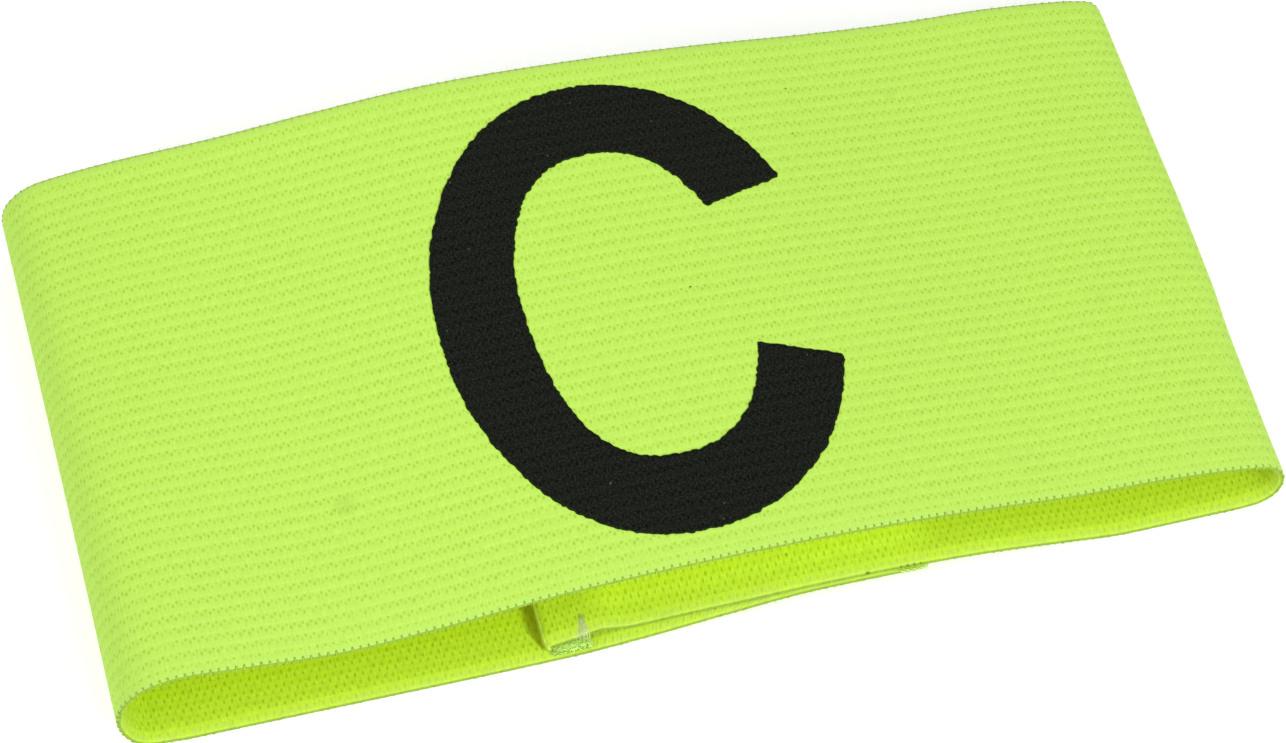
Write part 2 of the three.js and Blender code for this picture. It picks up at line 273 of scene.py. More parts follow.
def middle_path(across):
    """Middle of the strip's thickness along one line of it, from the plain end to the hem's cut edge."""
    depth = (across + HALF_WIDTH) / STRIP_WIDTH
    inset = HALF_WIDTH - abs(across)
    stretches = []

    def put(x, z, y):
        x, z = np.asarray(x, float), np.asarray(z, float)
        stretches.append(np.stack([x, np.broadcast_to(y, x.shape), z], axis=1))

    # The plain end, resting on the surface and arched under the overlap
    resting = across - LOWER_WALL_OFFSET
    from_corner = max(0, 1 - inset / END_CORNER)
    outer_end = OUTER_END_PLACE - END_CORNER * (1 - math.sqrt(1 - from_corner**2))
    x = np.linspace(outer_end, HEM_FOLD + ARCH[0]["at"] * OVERLAP_LENGTH, PLAIN_END_STEPS + 1)
    put(x, arch_height(x) + HALF_THICKNESS, resting)

    # The left bend, the crown and the right bend
    outer = upper_face(depth)
    normals = outwards(outer[:, 0], outer[:, 1])
    normals[0] = normals[-1] = (0, -1)
    middle = outer - normals * HALF_THICKNESS
    forward = LOWER_WALL_OFFSET * (1 - smooth(outer[:, 1], 0, RIGHT_BEND_HEIGHT["back"]))
    put(middle[:, 0], middle[:, 1], across - np.where(outer[:, 0] < 0, 0, forward))

    # Back along the surface and over the plain end, up to the fold of the hem
    ramp_start = OUTER_END_PLACE + RAMP_LENGTH
    fold_radius = LAYER_PITCH / 2
    fold_centre = HEM_FOLD + HALF_THICKNESS + fold_radius
    patch_start = HEM_CUT + PATCH_MARGIN
    patch_end = OUTER_END_PLACE - PATCH_MARGIN
    x = np.linspace(ramp_start, fold_centre, INNER_STEPS + 1)
    over_end = 1 - smooth(x, OUTER_END_PLACE + RAMP_LEAD, ramp_start)
    over_hem = 1 - smooth(x, HEM_CUT + LAYER_PITCH, HEM_CUT + LAYER_PITCH + HEM_STEP)
    over_patch = smooth(x, patch_start - PATCH_SLOPE, patch_start)
    over_patch = over_patch * (1 - smooth(x, patch_end, patch_end + PATCH_SLOPE))
    beside_patch = smooth(inset, SELVEDGE_WIDTH, HALF_WIDTH - PATCH_WIDTH / 2)
    bulge = (PATCH_THICKNESS + 2 * CLEARANCE - LAYER_GAP) * over_patch * beside_patch
    raised = arch_height(x) + LAYER_PITCH * (over_end + over_hem) + bulge
    pull = HEM_PULL * (1 - smooth(x, HEM_FOLD, HEM_FOLD + HEM_PULL_LENGTH))
    skew = END_SKEW * (1 - smooth(x, HEM_CUT, HEM_CUT + SKEW_LENGTH)) - pull
    put(x, raised + HALF_THICKNESS, resting + skew)

    # Round the fold and back under the hem
    turn = np.linspace(0, 1, FOLD_STEPS + 1)[1:]
    fold_height = arch_height(fold_centre) + LAYER_PITCH + fold_radius + HALF_THICKNESS
    put(fold_centre - fold_radius * np.sin(np.pi * turn), fold_height + fold_radius * np.cos(np.pi * turn),
        resting + skew[-1] + (HEM_SKEW - skew[-1]) * turn)
    x = np.linspace(fold_centre, HEM_CUT, UNDER_STEPS + 1)[1:]
    put(x, arch_height(x) + LAYER_PITCH + HALF_THICKNESS, resting + HEM_SKEW)
    return np.vstack(stretches) + np.array([0, CENTRE_SHIFT, 0])


def strip_lines():
    """Places across the strip: a few to each rib, and closer ones round the two selvedges."""
    step = RIB_PITCH / LINES_PER_RIB
    ribbed = GROOVE_SHIFT + step * np.arange(-math.ceil(HALF_WIDTH / step), math.ceil(HALF_WIDTH / step))
    ribbed = ribbed[np.abs(ribbed) < HALF_WIDTH - RIBBED_MARGIN]
    edge = HALF_WIDTH - np.array(EDGE_INSETS)
    return np.concatenate([-edge[::-1], ribbed, edge])


def strip_thickness(across):
    """Thickness at a place across the strip, thinned and rounded at the selvedge."""
    inset = HALF_WIDTH - abs(across)
    flat = SELVEDGE_THICKNESS + (STRIP_THICKNESS - SELVEDGE_THICKNESS) * min(1, inset / SELVEDGE_WIDTH)
    rounding = SELVEDGE_THICKNESS / 2
    if inset >= rounding:
        return flat
    share = 1 - inset / rounding
    return flat * max(LEAST_EDGE, math.sqrt(1 - share**2))


def groove_depth(across):
    """How far a face lies under the rib tops at a place across the strip."""
    if HALF_WIDTH - abs(across) < SELVEDGE_WIDTH:
        return 0
    return RIB_RELIEF * (1 + math.cos(2 * math.pi * (across - GROOVE_SHIFT) / RIB_PITCH)) / 2


LINES = strip_lines()
MIDDLE = np.array([middle_path(across) for across in LINES])
ALONG = lengths_along(middle_path(0))


def strip_face(side):
    """Grid of points of the strip's outer (1) or inner (-1) face, a row for each line."""
    rows = []
    for across, path in zip(LINES, MIDDLE):
        normals = outwards(path[:, 0], path[:, 2])
        share = SELVEDGE_INNER_SHARE if side < 0 else 1 - SELVEDGE_INNER_SHARE
        thinned = (STRIP_THICKNESS - strip_thickness(across)) * share
        raised = side * (HALF_THICKNESS - thinned - groove_depth(across))
        rows.append(path + raised * np.stack([normals[:, 0], np.zeros(len(path)), normals[:, 1]], axis=1))
    return np.array(rows)


OUTER_FACE = strip_face(1)
INNER_FACE = strip_face(-1)
EDGE_SHIFT = (STRIP_THICKNESS - SELVEDGE_THICKNESS) * (SELVEDGE_INNER_SHARE - 0.5)
FRONT_LINE = 0
BACK_LINE = len(LINES) - 1

# Stretches of the strip, as columns of its mesh
UPPER_WALL = slice(PLAIN_END_STEPS + 1 + BEND_STEPS, PLAIN_END_STEPS + 1 + BEND_STEPS + CROWN_STEPS)
INNER_START = PLAIN_END_STEPS + 1 + len(PLACES)
INNER_LAYER = slice(INNER_START, INNER_START + INNER_STEPS + 1)
FOLD_COLUMN = INNER_START + INNER_STEPS
HEM_CREST = (ALONG[FOLD_COLUMN] + ALONG[FOLD_COLUMN + FOLD_STEPS]) / 2
HEM_HIGHLIGHT_PLACE = HEM_CREST - HIGHLIGHT_STEP
FOLD_FOOT = ALONG[PLAIN_END_STEPS] + (MIDDLE[0][PLAIN_END_STEPS][0] - HEM_FOLD)


def along_strip(x, y, stretch):
    """Place along and across the strip of a point on one of its stretches."""
    across = y - CENTRE_SHIFT
    line = int(np.argmin(np.abs(LINES - across)))
    path = MIDDLE[line, stretch]
    order = np.argsort(path[:, 0])
    return float(np.interp(x, path[order, 0], ALONG[stretch][order])), float(across)


def on_face(face, along, across):
    """Point of the strip's outer or inner face at a place along and across the strip."""
    line = int(np.clip(np.searchsorted(LINES, across) - 1, 0, len(LINES) - 2))
    share = (across - LINES[line]) / (LINES[line + 1] - LINES[line])
    ends = [[np.interp(along, ALONG, face[row, :, axis]) for axis in range(3)] for row in (line, line + 1)]
    return np.array(ends[0]) * (1 - share) + np.array(ends[1]) * share


# Helpers for meshes

def new_object(name, points, faces):
    mesh = bpy.data.meshes.new(name)
    mesh.from_pydata([tuple(point) for point in points], [], [tuple(face) for face in faces])
    piece = bpy.data.objects.new(name, mesh)
    bpy.context.scene.collection.objects.link(piece)
    mesh.polygons.foreach_set("use_smooth", [True] * len(mesh.polygons))
    return piece


def only(piece):
    """Makes a piece the only selected one, so that an operator acts on it alone."""
    bpy.ops.object.select_all(action="DESELECT")
    piece.select_set(True)
    bpy.context.view_layer.objects.active = piece


def flat_grid(name, cells, middle, size):
    """A flat grid of faces, added at its place and size."""
    bpy.ops.object.select_all(action="DESELECT")
    bpy.ops.mesh.primitive_grid_add(x_subdivisions=cells[0], y_subdivisions=cells[1], size=1)
    grid = bpy.context.active_object
    grid.name = grid.data.name = name
    grid.location = middle
    grid.scale = (*size, 1)
    only(grid)
    bpy.ops.object.transform_apply(location=True, rotation=True, scale=True)
    return grid


def set_uv(piece, values):
    """Gives a piece the UV map "strip": its place along and across the strip, in metres, by vertex."""
    layer = piece.data.uv_layers.new(name="strip")
    corners = np.zeros(len(piece.data.loops), int)
    piece.data.loops.foreach_get("vertex_index", corners)
    layer.data.foreach_set("uv", np.asarray(values, float)[corners].ravel())


# The strip

def on_strip(marks_and_shadows, stretch):
    """Marks and painted shadows of a table, each as its place along and across the strip, its radius and
    its strength.
    """
    return [(along_strip(mark["x"], mark["y"], stretch), mark["radius"], mark["strength"])
            for mark in marks_and_shadows]


def make_strip():
    rows, columns = OUTER_FACE.shape[:2]
    points = np.concatenate([OUTER_FACE.reshape(-1, 3), INNER_FACE.reshape(-1, 3)])
    outer = np.arange(rows * columns).reshape(rows, columns)
    inner = outer + rows * columns

    def quads(a, b, c, d):
        return np.stack([a, b, c, d], axis=-1).reshape(-1, 4)

    outer_quads = quads(outer[:-1, :-1], outer[:-1, 1:], outer[1:, 1:], outer[1:, :-1])
    inner_quads = quads(inner[:-1, :-1], inner[1:, :-1], inner[1:, 1:], inner[:-1, 1:])
    edge_quads = [
        quads(outer[0, :-1], inner[0, :-1], inner[0, 1:], outer[0, 1:]),
        quads(outer[-1, :-1], outer[-1, 1:], inner[-1, 1:], inner[-1, :-1]),
        quads(outer[:-1, 0], outer[1:, 0], inner[1:, 0], inner[:-1, 0]),
        quads(outer[:-1, -1], inner[:-1, -1], inner[1:, -1], outer[1:, -1]),
    ]
    faces = np.concatenate([outer_quads, inner_quads, *edge_quads])
    strip = new_object("knitted_strip", points, faces)
    upper_marks = on_strip(UPPER_MARKS, UPPER_WALL)
    inner_marks_and_gap_shadows = on_strip(INNER_MARKS_AND_GAP_SHADOWS, INNER_LAYER)
    strip.data.materials.append(knit_material("knit_outer", OUTER_KNIT, upper_marks))
    strip.data.materials.append(knit_material("knit_inner", INNER_KNIT, inner_marks_and_gap_shadows, shows_hem=True))
    slots = np.zeros(len(faces), int)
    slots[len(outer_quads):len(outer_quads) + len(inner_quads)] = 1
    strip.data.polygons.foreach_set("material_index", slots)
    places = np.stack(np.meshgrid(ALONG, LINES), axis=-1).reshape(-1, 2)
    set_uv(strip, np.concatenate([places, places]))
    return strip


# Helpers for materials

def light(red, green, blue):
    """A colour given as it looks on a screen, from 0 to 255, as the amounts of light that it returns."""
    shares = np.array([red, green, blue]) / 255
    return tuple(np.where(shares <= 0.04045, shares / 12.92, ((shares + 0.055) / 1.055) ** 2.4)) + (1.0,)


class Recipe:
    """A material that is put together from nodes."""

    def __init__(self, name):
        self.material = bpy.data.materials.new(name)
        self.material.use_nodes = True
        self.nodes = self.material.node_tree.nodes
        self.links = self.material.node_tree.links
        self.shader = self.nodes["Principled BSDF"]

    def put(self, socket, value):
        if isinstance(value, bpy.types.NodeSocket):
            self.links.new(value, socket)
        else:
            socket.default_value = value

    def node(self, kind, settings=None, **inputs):
        made = self.nodes.new(kind)
        for name, value in (settings or {}).items():
            setattr(made, name, value)
        for name, value in inputs.items():
            self.put(made.inputs[name.replace("_", " ")], value)
        return made

    def math(self, operation, *values):
        made = self.nodes.new("ShaderNodeMath")
        made.operation = operation
        for socket, value in zip(made.inputs, values):
            self.put(socket, value)
        return made.outputs[0]

    def add(self, *values):
        total = values[0]
        for value in values[1:]:
            total = self.math("ADD", total, value)
        return total

    def times(self, *values):
        product = values[0]
        for value in values[1:]:
            product = self.math("MULTIPLY", product, value)
        return product

    def apart(self, first, second):
        """How far apart two values are."""
        return self.math("ABSOLUTE", self.math("SUBTRACT", first, second))

    def fade(self, value, start, end, low=0.0, high=1.0):
        """From low at start to high at end, smoothly."""
        made = self.nodes.new("ShaderNodeMapRange")
        made.interpolation_type = "SMOOTHSTEP"
        for socket, given in zip(made.inputs, (value, start, end, low, high)):
            self.put(socket, given)
        return made.outputs[0]

    def near(self, distance, reach, strength=1.0):
        """A mask with its full strength up to a reach's first distance and none from its second on."""
        return self.fade(distance, *reach, strength, 0.0)

    def blend(self, share, first, second):
        made = self.nodes.new("ShaderNodeMix")
        made.data_type = "RGBA"
        self.put(made.inputs[0], share)
        self.put(made.inputs[6], first)
        self.put(made.inputs[7], second)
        return made.outputs[2]

    def place(self):
        """Place in the piece's own coordinates."""
        return self.node("ShaderNodeTexCoord").outputs["Object"]

    def noise(self, place, scale, detail=2.0):
        made = self.node("ShaderNodeTexNoise", Vector=place, Scale=scale, Detail=detail)
        return made.outputs["Fac"]

    def swing(self, noise, amount):
        """A noise made to swing to both sides of 0."""
        return self.times(self.add(noise, -0.5), amount)

    def bump(self, height, distance, strength=1.0):
        made = self.node("ShaderNodeBump", Height=height, Distance=distance, Strength=strength)
        return made.outputs[0]

    def finish(self, **inputs):
        for name, value in inputs.items():
            self.put(self.shader.inputs[name.replace("_", " ")], value)
        return self.material


# Materials

OUTER_LIGHT = 1.7              # how bright the studio light makes a white face on the outside
INNER_LIGHT = 1.45             # and in the loop's front opening


def dyed(red, green, blue, level=OUTER_LIGHT):
    """Colour of a fabric that looks so in the studio light."""
    return tuple(min(1.0, share / level) for share in light(red, green, blue)[:3]) + (1.0,)


# Looks of the two faces. The side is the colour of the rim. The line is a painted highlight (sheen)
# beside each groove. The painted glow is an emission that lifts the shadows inside the loop and
# tints them olive. The dots start at the plain inset from the edges, and none is weaker than the
# least strength. Their rows give: place of the row from the groove, and half the width and height
# of its dots.
OUTER_KNIT = {
    "ground": dyed(197, 241, 98),
    "groove": dyed(196, 240, 95),
    "line": dyed(201, 244, 105),
    "dot": dyed(170, 217, 62),
    "pale": dyed(194, 236, 106),
    "tick": dyed(152, 190, 72),
    "side": dyed(126, 162, 52),
    "painted_glow": (0.0, 0.0, 0.0, 1.0),
    "grain": 1.0,
    "plain": 0.0009,
    "least": 0.35,
    "rows": [(0.00018, 0.00017, 0.00023), (-0.00021, 0.00017, 0.0003)],
    "bump": 0.00005,
}
INNER_KNIT = {
    "ground": dyed(185, 227, 27, INNER_LIGHT),
    "groove": dyed(185, 228, 36, INNER_LIGHT),
    "line": dyed(194, 235, 58, INNER_LIGHT),
    "dot": dyed(146, 200, 8, INNER_LIGHT),
    "pale": dyed(172, 207, 78, INNER_LIGHT),
    "tick": dyed(178, 218, 64, INNER_LIGHT),
    "side": dyed(126, 162, 52),
    "painted_glow": (0.07, 0.055, 0.0, 1.0),
    "grain": 1.6,
    "plain": 0.0003,
    "least": 0.6,
    "rows": [(0.0005, 0.00015, 0.00032), (-0.0005, 0.00015, 0.00032)],
    "bump": 0.00007,
}
SHEEN_LINE_PLACE = 0.00055     # of the painted highlight (sheen) line beside each groove

# Marks on the fabric, and on the inner layer's front edge painted shadows of the gaps between the layers
# and between the zigzag's scallops. Columns: place along the loop and across it, radius, strength.
UPPER_MARKS = [
    {"x": 0.02711, "y": 0.02871, "radius": 0.00022, "strength": 0.8},
    {"x": 0.02607, "y": 0.02154, "radius": 0.00020, "strength": 0.7},
    {"x": 0.00732, "y": 0.00063, "radius": 0.00022, "strength": 0.9},
    {"x": 0.04019, "y": 0.02583, "radius": 0.0012, "strength": 0.07},
    {"x": -0.04046, "y": -0.01857, "radius": 0.0019, "strength": 0.11},
    {"x": 0.05711, "y": -0.01011, "radius": 0.0014, "strength": 0.06},
]
# Mostly painted shadows: dark spots in the gaps at the inner layer's front edge
INNER_MARKS_AND_GAP_SHADOWS = [
    {"x": 0.01953, "y": -0.0379, "radius": 0.00045, "strength": 1.0},
    {"x": 0.0105, "y": -0.0335, "radius": 0.0003, "strength": 0.5},
    {"x": 0.0237, "y": -0.0378, "radius": 0.00022, "strength": 0.9},
    {"x": 0.02455, "y": -0.0378, "radius": 0.00025, "strength": 1.0},
    {"x": 0.0254, "y": -0.0378, "radius": 0.00025, "strength": 1.0},
    {"x": 0.02625, "y": -0.0378, "radius": 0.00022, "strength": 0.9},
]
# Colour of the marks and of the painted gap shadows
MARK_AND_SHADOW_COLOUR = dyed(78, 102, 5)
MARK_CORE = 0.3                # share of a mark's radius in which it is at its strongest

# The tack at the hem's front corner
TACK_PLACE = -0.0158
TACK_LEAN = 0.0003             # how much nearer the hem's fold its foot lies than its top
TACK_TOP = 0.0027              # how far in from the edge it starts
TACK_HALF_WIDTH = 0.0009
TACK_COLOUR = dyed(208, 226, 160)
TACK_WANDER = 0.0008           # how far the colour's middle strays

# How fine the noises on the faces are, in waves to the metre
FIBRE_SCALE = 5200.0
STREAK_SCALE = 3100.0
STREAK_STRETCH = (1.0, 0.22, 1.0)        # drawn out across the strip
BLOTCH_SCALE = 900.0
CLOUD_SCALE = 55.0
SWAY_SCALE = 300.0
DRIFT_SCALE = 210.0
RIB_SWAY = 0.00025
STITCH_DRIFT = 0.0003

# Where the parts of the knit show. Each pair is where a part starts to fade and where the fade ends,
# as a distance from the part's middle or as an inset from the strip's edge.
GROOVE_REACH = (0.0002, 0.00058)
SHEEN_LINE_REACH = (0.0, 0.00026)
DOT_REACH = (0.0, 1.6)                   # in squares of the dot's half sizes
TICK_REACH = (0.04, 0.2)                 # in stitches
RIB_INSET = (0.0009, 0.0016)
DOT_FADE = 0.0006
PALING_INSET = (0.001, 0.007)
PALE_INSET = (0.0003, 0.0015)
TICK_INSET = (0.0003, 0.0007)
RIM_INSET = (0.00004, 0.0002)
HEM_REACH = (0.0012, 0.0045)
FOLD_HIGHLIGHT_REACH = (0.00003, 0.00012)
TACK_REACH = (0.4, 1.3)                  # in half widths of the tack

# How strongly they show
SHEEN_LINE_STRENGTH = 0.8
DOT_STRENGTH = 0.85                      # by the hem it grows to 1
PALING_STRENGTH = 0.3
TICK_STRENGTH = 0.45
LOW_RIM_STRENGTH = 0.85
HIGH_RIM_STRENGTH = 0.8
FOLD_HIGHLIGHT_STRENGTH = 0.9
TACK_STRENGTH = 0.6

# How much the noises and the threads darken and lighten a face
EVEN_SHADE = 0.995
FIBRE_GRAIN = 0.22
BLOTCH_GRAIN = 0.05
STREAK_GRAIN = 0.25
CLOUD_SHADE = 0.03
THREAD_SHADE = 0.015

# Heights in the fine relief, as shares of a dot's depth
THREAD_RELIEF = 0.25
FIBRE_RELIEF = 0.4
STREAK_RELIEF = 0.6
KNIT_BUMP_STRENGTH = 0.8


def knit_pattern(recipe, look):
    """Masks of the knit in the strip's own places."""
    uv = recipe.node("ShaderNodeUVMap", {"uv_map": "strip"}).outputs[0]
    split = recipe.node("ShaderNodeSeparateXYZ", Vector=uv)
    along, across = split.outputs[0], split.outputs[1]
    sway = recipe.swing(recipe.noise(uv, SWAY_SCALE), RIB_SWAY)
    drift = recipe.swing(recipe.noise(uv, DRIFT_SCALE, 1.0), STITCH_DRIFT)
    stitch = recipe.math("DIVIDE", recipe.add(along, drift), STITCH_PITCH)
    rib = recipe.math("DIVIDE", recipe.add(across, sway, -GROOVE_SHIFT), RIB_PITCH)

    def beside(place):
        """Distance from the nearest line that runs along the ribs at that place from a groove."""
        return recipe.times(recipe.math("PINGPONG", recipe.add(rib, -place / RIB_PITCH), 0.5), RIB_PITCH)

    def dot_row(index, place, wide, tall):
        """Oval dots in a row along each rib, one to a stitch, and each with its own strength."""
        shifted = recipe.add(stitch, 0.5 * index)
        aside = recipe.times(recipe.math("PINGPONG", shifted, 0.5), STITCH_PITCH)
        reach = recipe.add(
            recipe.math("POWER", recipe.math("DIVIDE", aside, wide), 2.0),
            recipe.math("POWER", recipe.math("DIVIDE", beside(place), tall), 2.0))
        cell = recipe.node(
            "ShaderNodeCombineXYZ", X=recipe.math("ROUND", shifted),
            Y=recipe.math("ROUND", recipe.add(rib, -place / RIB_PITCH)), Z=float(index))
        chance = recipe.node("ShaderNodeTexWhiteNoise", {"noise_dimensions": "3D"}, Vector=cell.outputs[0])
        strength = recipe.fade(chance.outputs[0], -0.3, 1.2, look["least"], 1.0)
        return recipe.times(recipe.near(reach, DOT_REACH), strength)

    dots = recipe.math("MAXIMUM", *(dot_row(index, *row) for index, row in enumerate(look["rows"])))
    inset = recipe.math("SUBTRACT", HALF_WIDTH, recipe.math("ABSOLUTE", across))
    ribbed = recipe.fade(inset, *RIB_INSET)
    from_tick = recipe.math("PINGPONG", recipe.math("DIVIDE", along, STITCH_PITCH), 0.5)
    return {
        "uv": uv, "along": along, "across": across, "inset": inset,
        "thread": recipe.fade(recipe.math("PINGPONG", recipe.times(stitch, 2.0), 0.5), 0.0, 0.5),
        "tick": recipe.near(from_tick, TICK_REACH),
        "groove": recipe.times(recipe.near(beside(0.0), GROOVE_REACH), ribbed),
        # painted highlight (sheen) line beside each groove
        "line": recipe.times(recipe.near(beside(SHEEN_LINE_PLACE), SHEEN_LINE_REACH), ribbed),
        "dots": recipe.times(dots, recipe.fade(inset, look["plain"], look["plain"] + DOT_FADE)),
    }


# Painted highlight: a pale line on the ridge of the hem's fold
FOLD_HIGHLIGHT_COLOUR = dyed(214, 240, 120, INNER_LIGHT)
# Painted shadow beside the hem's fold on the lower wall's inner face: a dark olive wedge, narrow at the
# front edge and wider deeper inside the loop
FOLD_SHADOW = dyed(112, 118, 4, INNER_LIGHT)
FOLD_SHADOW_WIDTH = 0.0017      # deep inside the loop
FOLD_SHADOW_NARROW = 0.00002    # at the front edge
FOLD_SHADOW_INSET = (0.0003, 0.0055)      # in which it widens from the one to the other


def add_hem(recipe, colour, knit, from_crest, fibres, blotches):
    """The hem on a face's colour: a painted highlight on the ridge of its fold, its tack, and a painted
    shadow beside its fold.
    """
    # Painted highlight along the ridge of the hem's fold
    from_highlight = recipe.apart(knit["along"], HEM_HIGHLIGHT_PLACE)
    colour = recipe.blend(recipe.near(from_highlight, FOLD_HIGHLIGHT_REACH, FOLD_HIGHLIGHT_STRENGTH), colour, FOLD_HIGHLIGHT_COLOUR)

    tack = abs(along_strip(TACK_PLACE, -HALF_WIDTH, INNER_LAYER)[0] - HEM_CREST)
    narrowing = recipe.times(knit["inset"], -TACK_HALF_WIDTH / TACK_TOP)
    half_width = recipe.math("MAXIMUM", 0.00001, recipe.add(TACK_HALF_WIDTH, narrowing))
    lean = recipe.times(knit["inset"], -TACK_LEAN / TACK_TOP)
    from_tack = recipe.add(from_crest, -tack, lean, recipe.swing(blotches, TACK_WANDER))
    share = recipe.math("DIVIDE", recipe.math("ABSOLUTE", from_tack), half_width)
    strands = recipe.times(
        recipe.near(share, TACK_REACH, TACK_STRENGTH), recipe.fade(fibres, 0.3, 0.6, 0.6, 1.0))
    colour = recipe.blend(strands, colour, TACK_COLOUR)

    # Painted shadow: the dark olive wedge beside the fold, on the front half of the strip, darker next to
    # the fold
    width = recipe.fade(knit["inset"], *FOLD_SHADOW_INSET, FOLD_SHADOW_NARROW, FOLD_SHADOW_WIDTH)
    beside_fold = recipe.math("DIVIDE", recipe.add(knit["along"], -FOLD_FOOT), width)
    in_painted_shadow = recipe.math("LESS_THAN", recipe.apart(beside_fold, 0.5), 0.5)
    front = recipe.math("LESS_THAN", knit["across"], 0.0)
    depth = recipe.fade(beside_fold, 0.0, 1.0, 0.6, 0.25)
    return recipe.blend(recipe.times(in_painted_shadow, front, depth), colour, FOLD_SHADOW)


def knit_material(name, look, marks_and_shadows, shows_hem=False):
    """One face of the strip: ribs with their dots and a painted highlight line, pale edges with a tick to
    each stitch, and marks and painted shadows.
    """
    recipe = Recipe(name)
    knit = knit_pattern(recipe, look)
    uv, inset = knit["uv"], knit["inset"]
    fibres = recipe.noise(uv, FIBRE_SCALE, 3.0)
    blotches = recipe.noise(uv, BLOTCH_SCALE)
    clouds = recipe.noise(uv, CLOUD_SCALE, 3.0)
    drawn = recipe.node("ShaderNodeVectorMath", {"operation": "MULTIPLY"})
    recipe.put(drawn.inputs[0], uv)
    recipe.put(drawn.inputs[1], STREAK_STRETCH)
    streaks = recipe.noise(drawn.outputs[0], STREAK_SCALE)

    # The ribs, with a painted highlight (sheen) line beside each groove
    colour = recipe.blend(knit["groove"], look["ground"], look["groove"])
    colour = recipe.blend(recipe.times(knit["line"], SHEEN_LINE_STRENGTH), colour, look["line"])
    dot_strength = DOT_STRENGTH
    if shows_hem:
        from_crest = recipe.apart(knit["along"], HEM_CREST)
        by_hem = recipe.near(from_crest, HEM_REACH)
        dot_strength = recipe.add(DOT_STRENGTH, recipe.times(by_hem, 1 - DOT_STRENGTH))
        # Towards the edges the inner face is blended into its pale colour, over several millimetres
        paling = recipe.near(inset, PALING_INSET, PALING_STRENGTH)
        colour = recipe.blend(paling, colour, look["pale"])
    colour = recipe.blend(recipe.times(knit["dots"], dot_strength), colour, look["dot"])

    # The edges
    pale = recipe.times(recipe.near(inset, PALE_INSET), recipe.fade(blotches, 0.3, 0.6, 0.4, 1.0))
    colour = recipe.blend(pale, colour, look["pale"])
    tick = recipe.times(
        knit["tick"], recipe.near(inset, TICK_INSET, TICK_STRENGTH),
        recipe.fade(blotches, 0.25, 0.6, 0.5, 1.0))
    colour = recipe.blend(tick, colour, look["tick"])
    level = recipe.node("ShaderNodeSeparateXYZ", Vector=recipe.place()).outputs[2]
    rim = recipe.fade(level, LIME_HEIGHT, OLIVE_HEIGHT, LOW_RIM_STRENGTH, HIGH_RIM_STRENGTH)
    colour = recipe.blend(recipe.times(rim, recipe.near(inset, RIM_INSET)), colour, look["side"])

    if shows_hem:
        colour = add_hem(recipe, colour, knit, from_crest, fibres, blotches)
    # Marks, and painted shadows of gaps, each a dark spot
    for centre, radius, strength in marks_and_shadows:
        away = recipe.node("ShaderNodeVectorMath", {"operation": "DISTANCE"})
        recipe.put(away.inputs[0], uv)
        recipe.put(away.inputs[1], (*centre, 0))
        spot = recipe.near(away.outputs["Value"], (radius * MARK_CORE, radius), strength)
        colour = recipe.blend(spot, colour, MARK_AND_SHADOW_COLOUR)
    grain = recipe.add(
        recipe.swing(fibres, FIBRE_GRAIN), recipe.swing(blotches, BLOTCH_GRAIN),
        recipe.swing(streaks, STREAK_GRAIN))
    shade = recipe.add(
        EVEN_SHADE, recipe.times(grain, look["grain"]), recipe.times(clouds, CLOUD_SHADE),
        recipe.times(knit["thread"], THREAD_SHADE))
    tint = recipe.node("ShaderNodeVectorMath", {"operation": "SCALE"}, Scale=shade)
    recipe.put(tint.inputs[0], colour)
    height = recipe.add(
        recipe.times(knit["dots"], -1.0), recipe.times(knit["thread"], THREAD_RELIEF),
        recipe.times(fibres, FIBRE_RELIEF), recipe.times(streaks, STREAK_RELIEF))
    return recipe.finish(
        Base_Color=tint.outputs[0],
        Roughness=recipe.fade(fibres, 0.3, 0.7, 0.8, 0.95),
        Normal=recipe.bump(height, look["bump"], KNIT_BUMP_STRENGTH),
        Specular_IOR_Level=0.1,
        # Painted glow: an emission that lifts the shadows inside the loop and tints them olive
        Emission_Color=look["painted_glow"],
        Emission_Strength=1.0,
        Sheen_Weight=0.05,
        Sheen_Roughness=0.5,
        Sheen_Tint=(0.9, 1.0, 0.75, 1.0),
    )


YARN_FIBRE_SCALE = 4200.0
YARN_BLOTCH_SCALE = 700.0
YARN_BUMP = 0.00003


def thread_material(name, colour, dark, sheen=0.1):
    """Twisted yarn, in light and dark blotches with fine fibres."""
    recipe = Recipe(name)
    place = recipe.place()
    fibres = recipe.noise(place, YARN_FIBRE_SCALE, 3.0)
    blotches = recipe.noise(place, YARN_BLOTCH_SCALE)
    share = recipe.fade(recipe.add(recipe.times(fibres, 0.5), recipe.times(blotches, 0.5)), 0.38, 0.6)
    return recipe.finish(
        Base_Color=recipe.blend(share, dark, colour),
        Roughness=recipe.fade(fibres, 0.3, 0.7, 0.6, 0.85),
        Normal=recipe.bump(fibres, YARN_BUMP),
        Specular_IOR_Level=0.15,
        Sheen_Weight=sheen,
        Sheen_Roughness=0.4,
    )


def selvedge_material():
    """Yarn along the edges: from lime where a loop's shade is 0 to olive where it is 1."""
    recipe = Recipe("selvedge_yarn")
    fibres = recipe.noise(recipe.place(), YARN_FIBRE_SCALE, 3.0)
    shade = recipe.node("ShaderNodeAttribute", {"attribute_name": "shade"}).outputs["Fac"]
    light_yarn = recipe.blend(shade, dyed(190, 229, 88), dyed(172, 208, 78))
    dark_yarn = recipe.blend(shade, dyed(170, 208, 70), dyed(150, 184, 58))
    return recipe.finish(
        Base_Color=recipe.blend(recipe.fade(fibres, 0.35, 0.6), dark_yarn, light_yarn),
        Roughness=0.8,
        Normal=recipe.bump(fibres, YARN_BUMP),
        Specular_IOR_Level=0.1,
    )


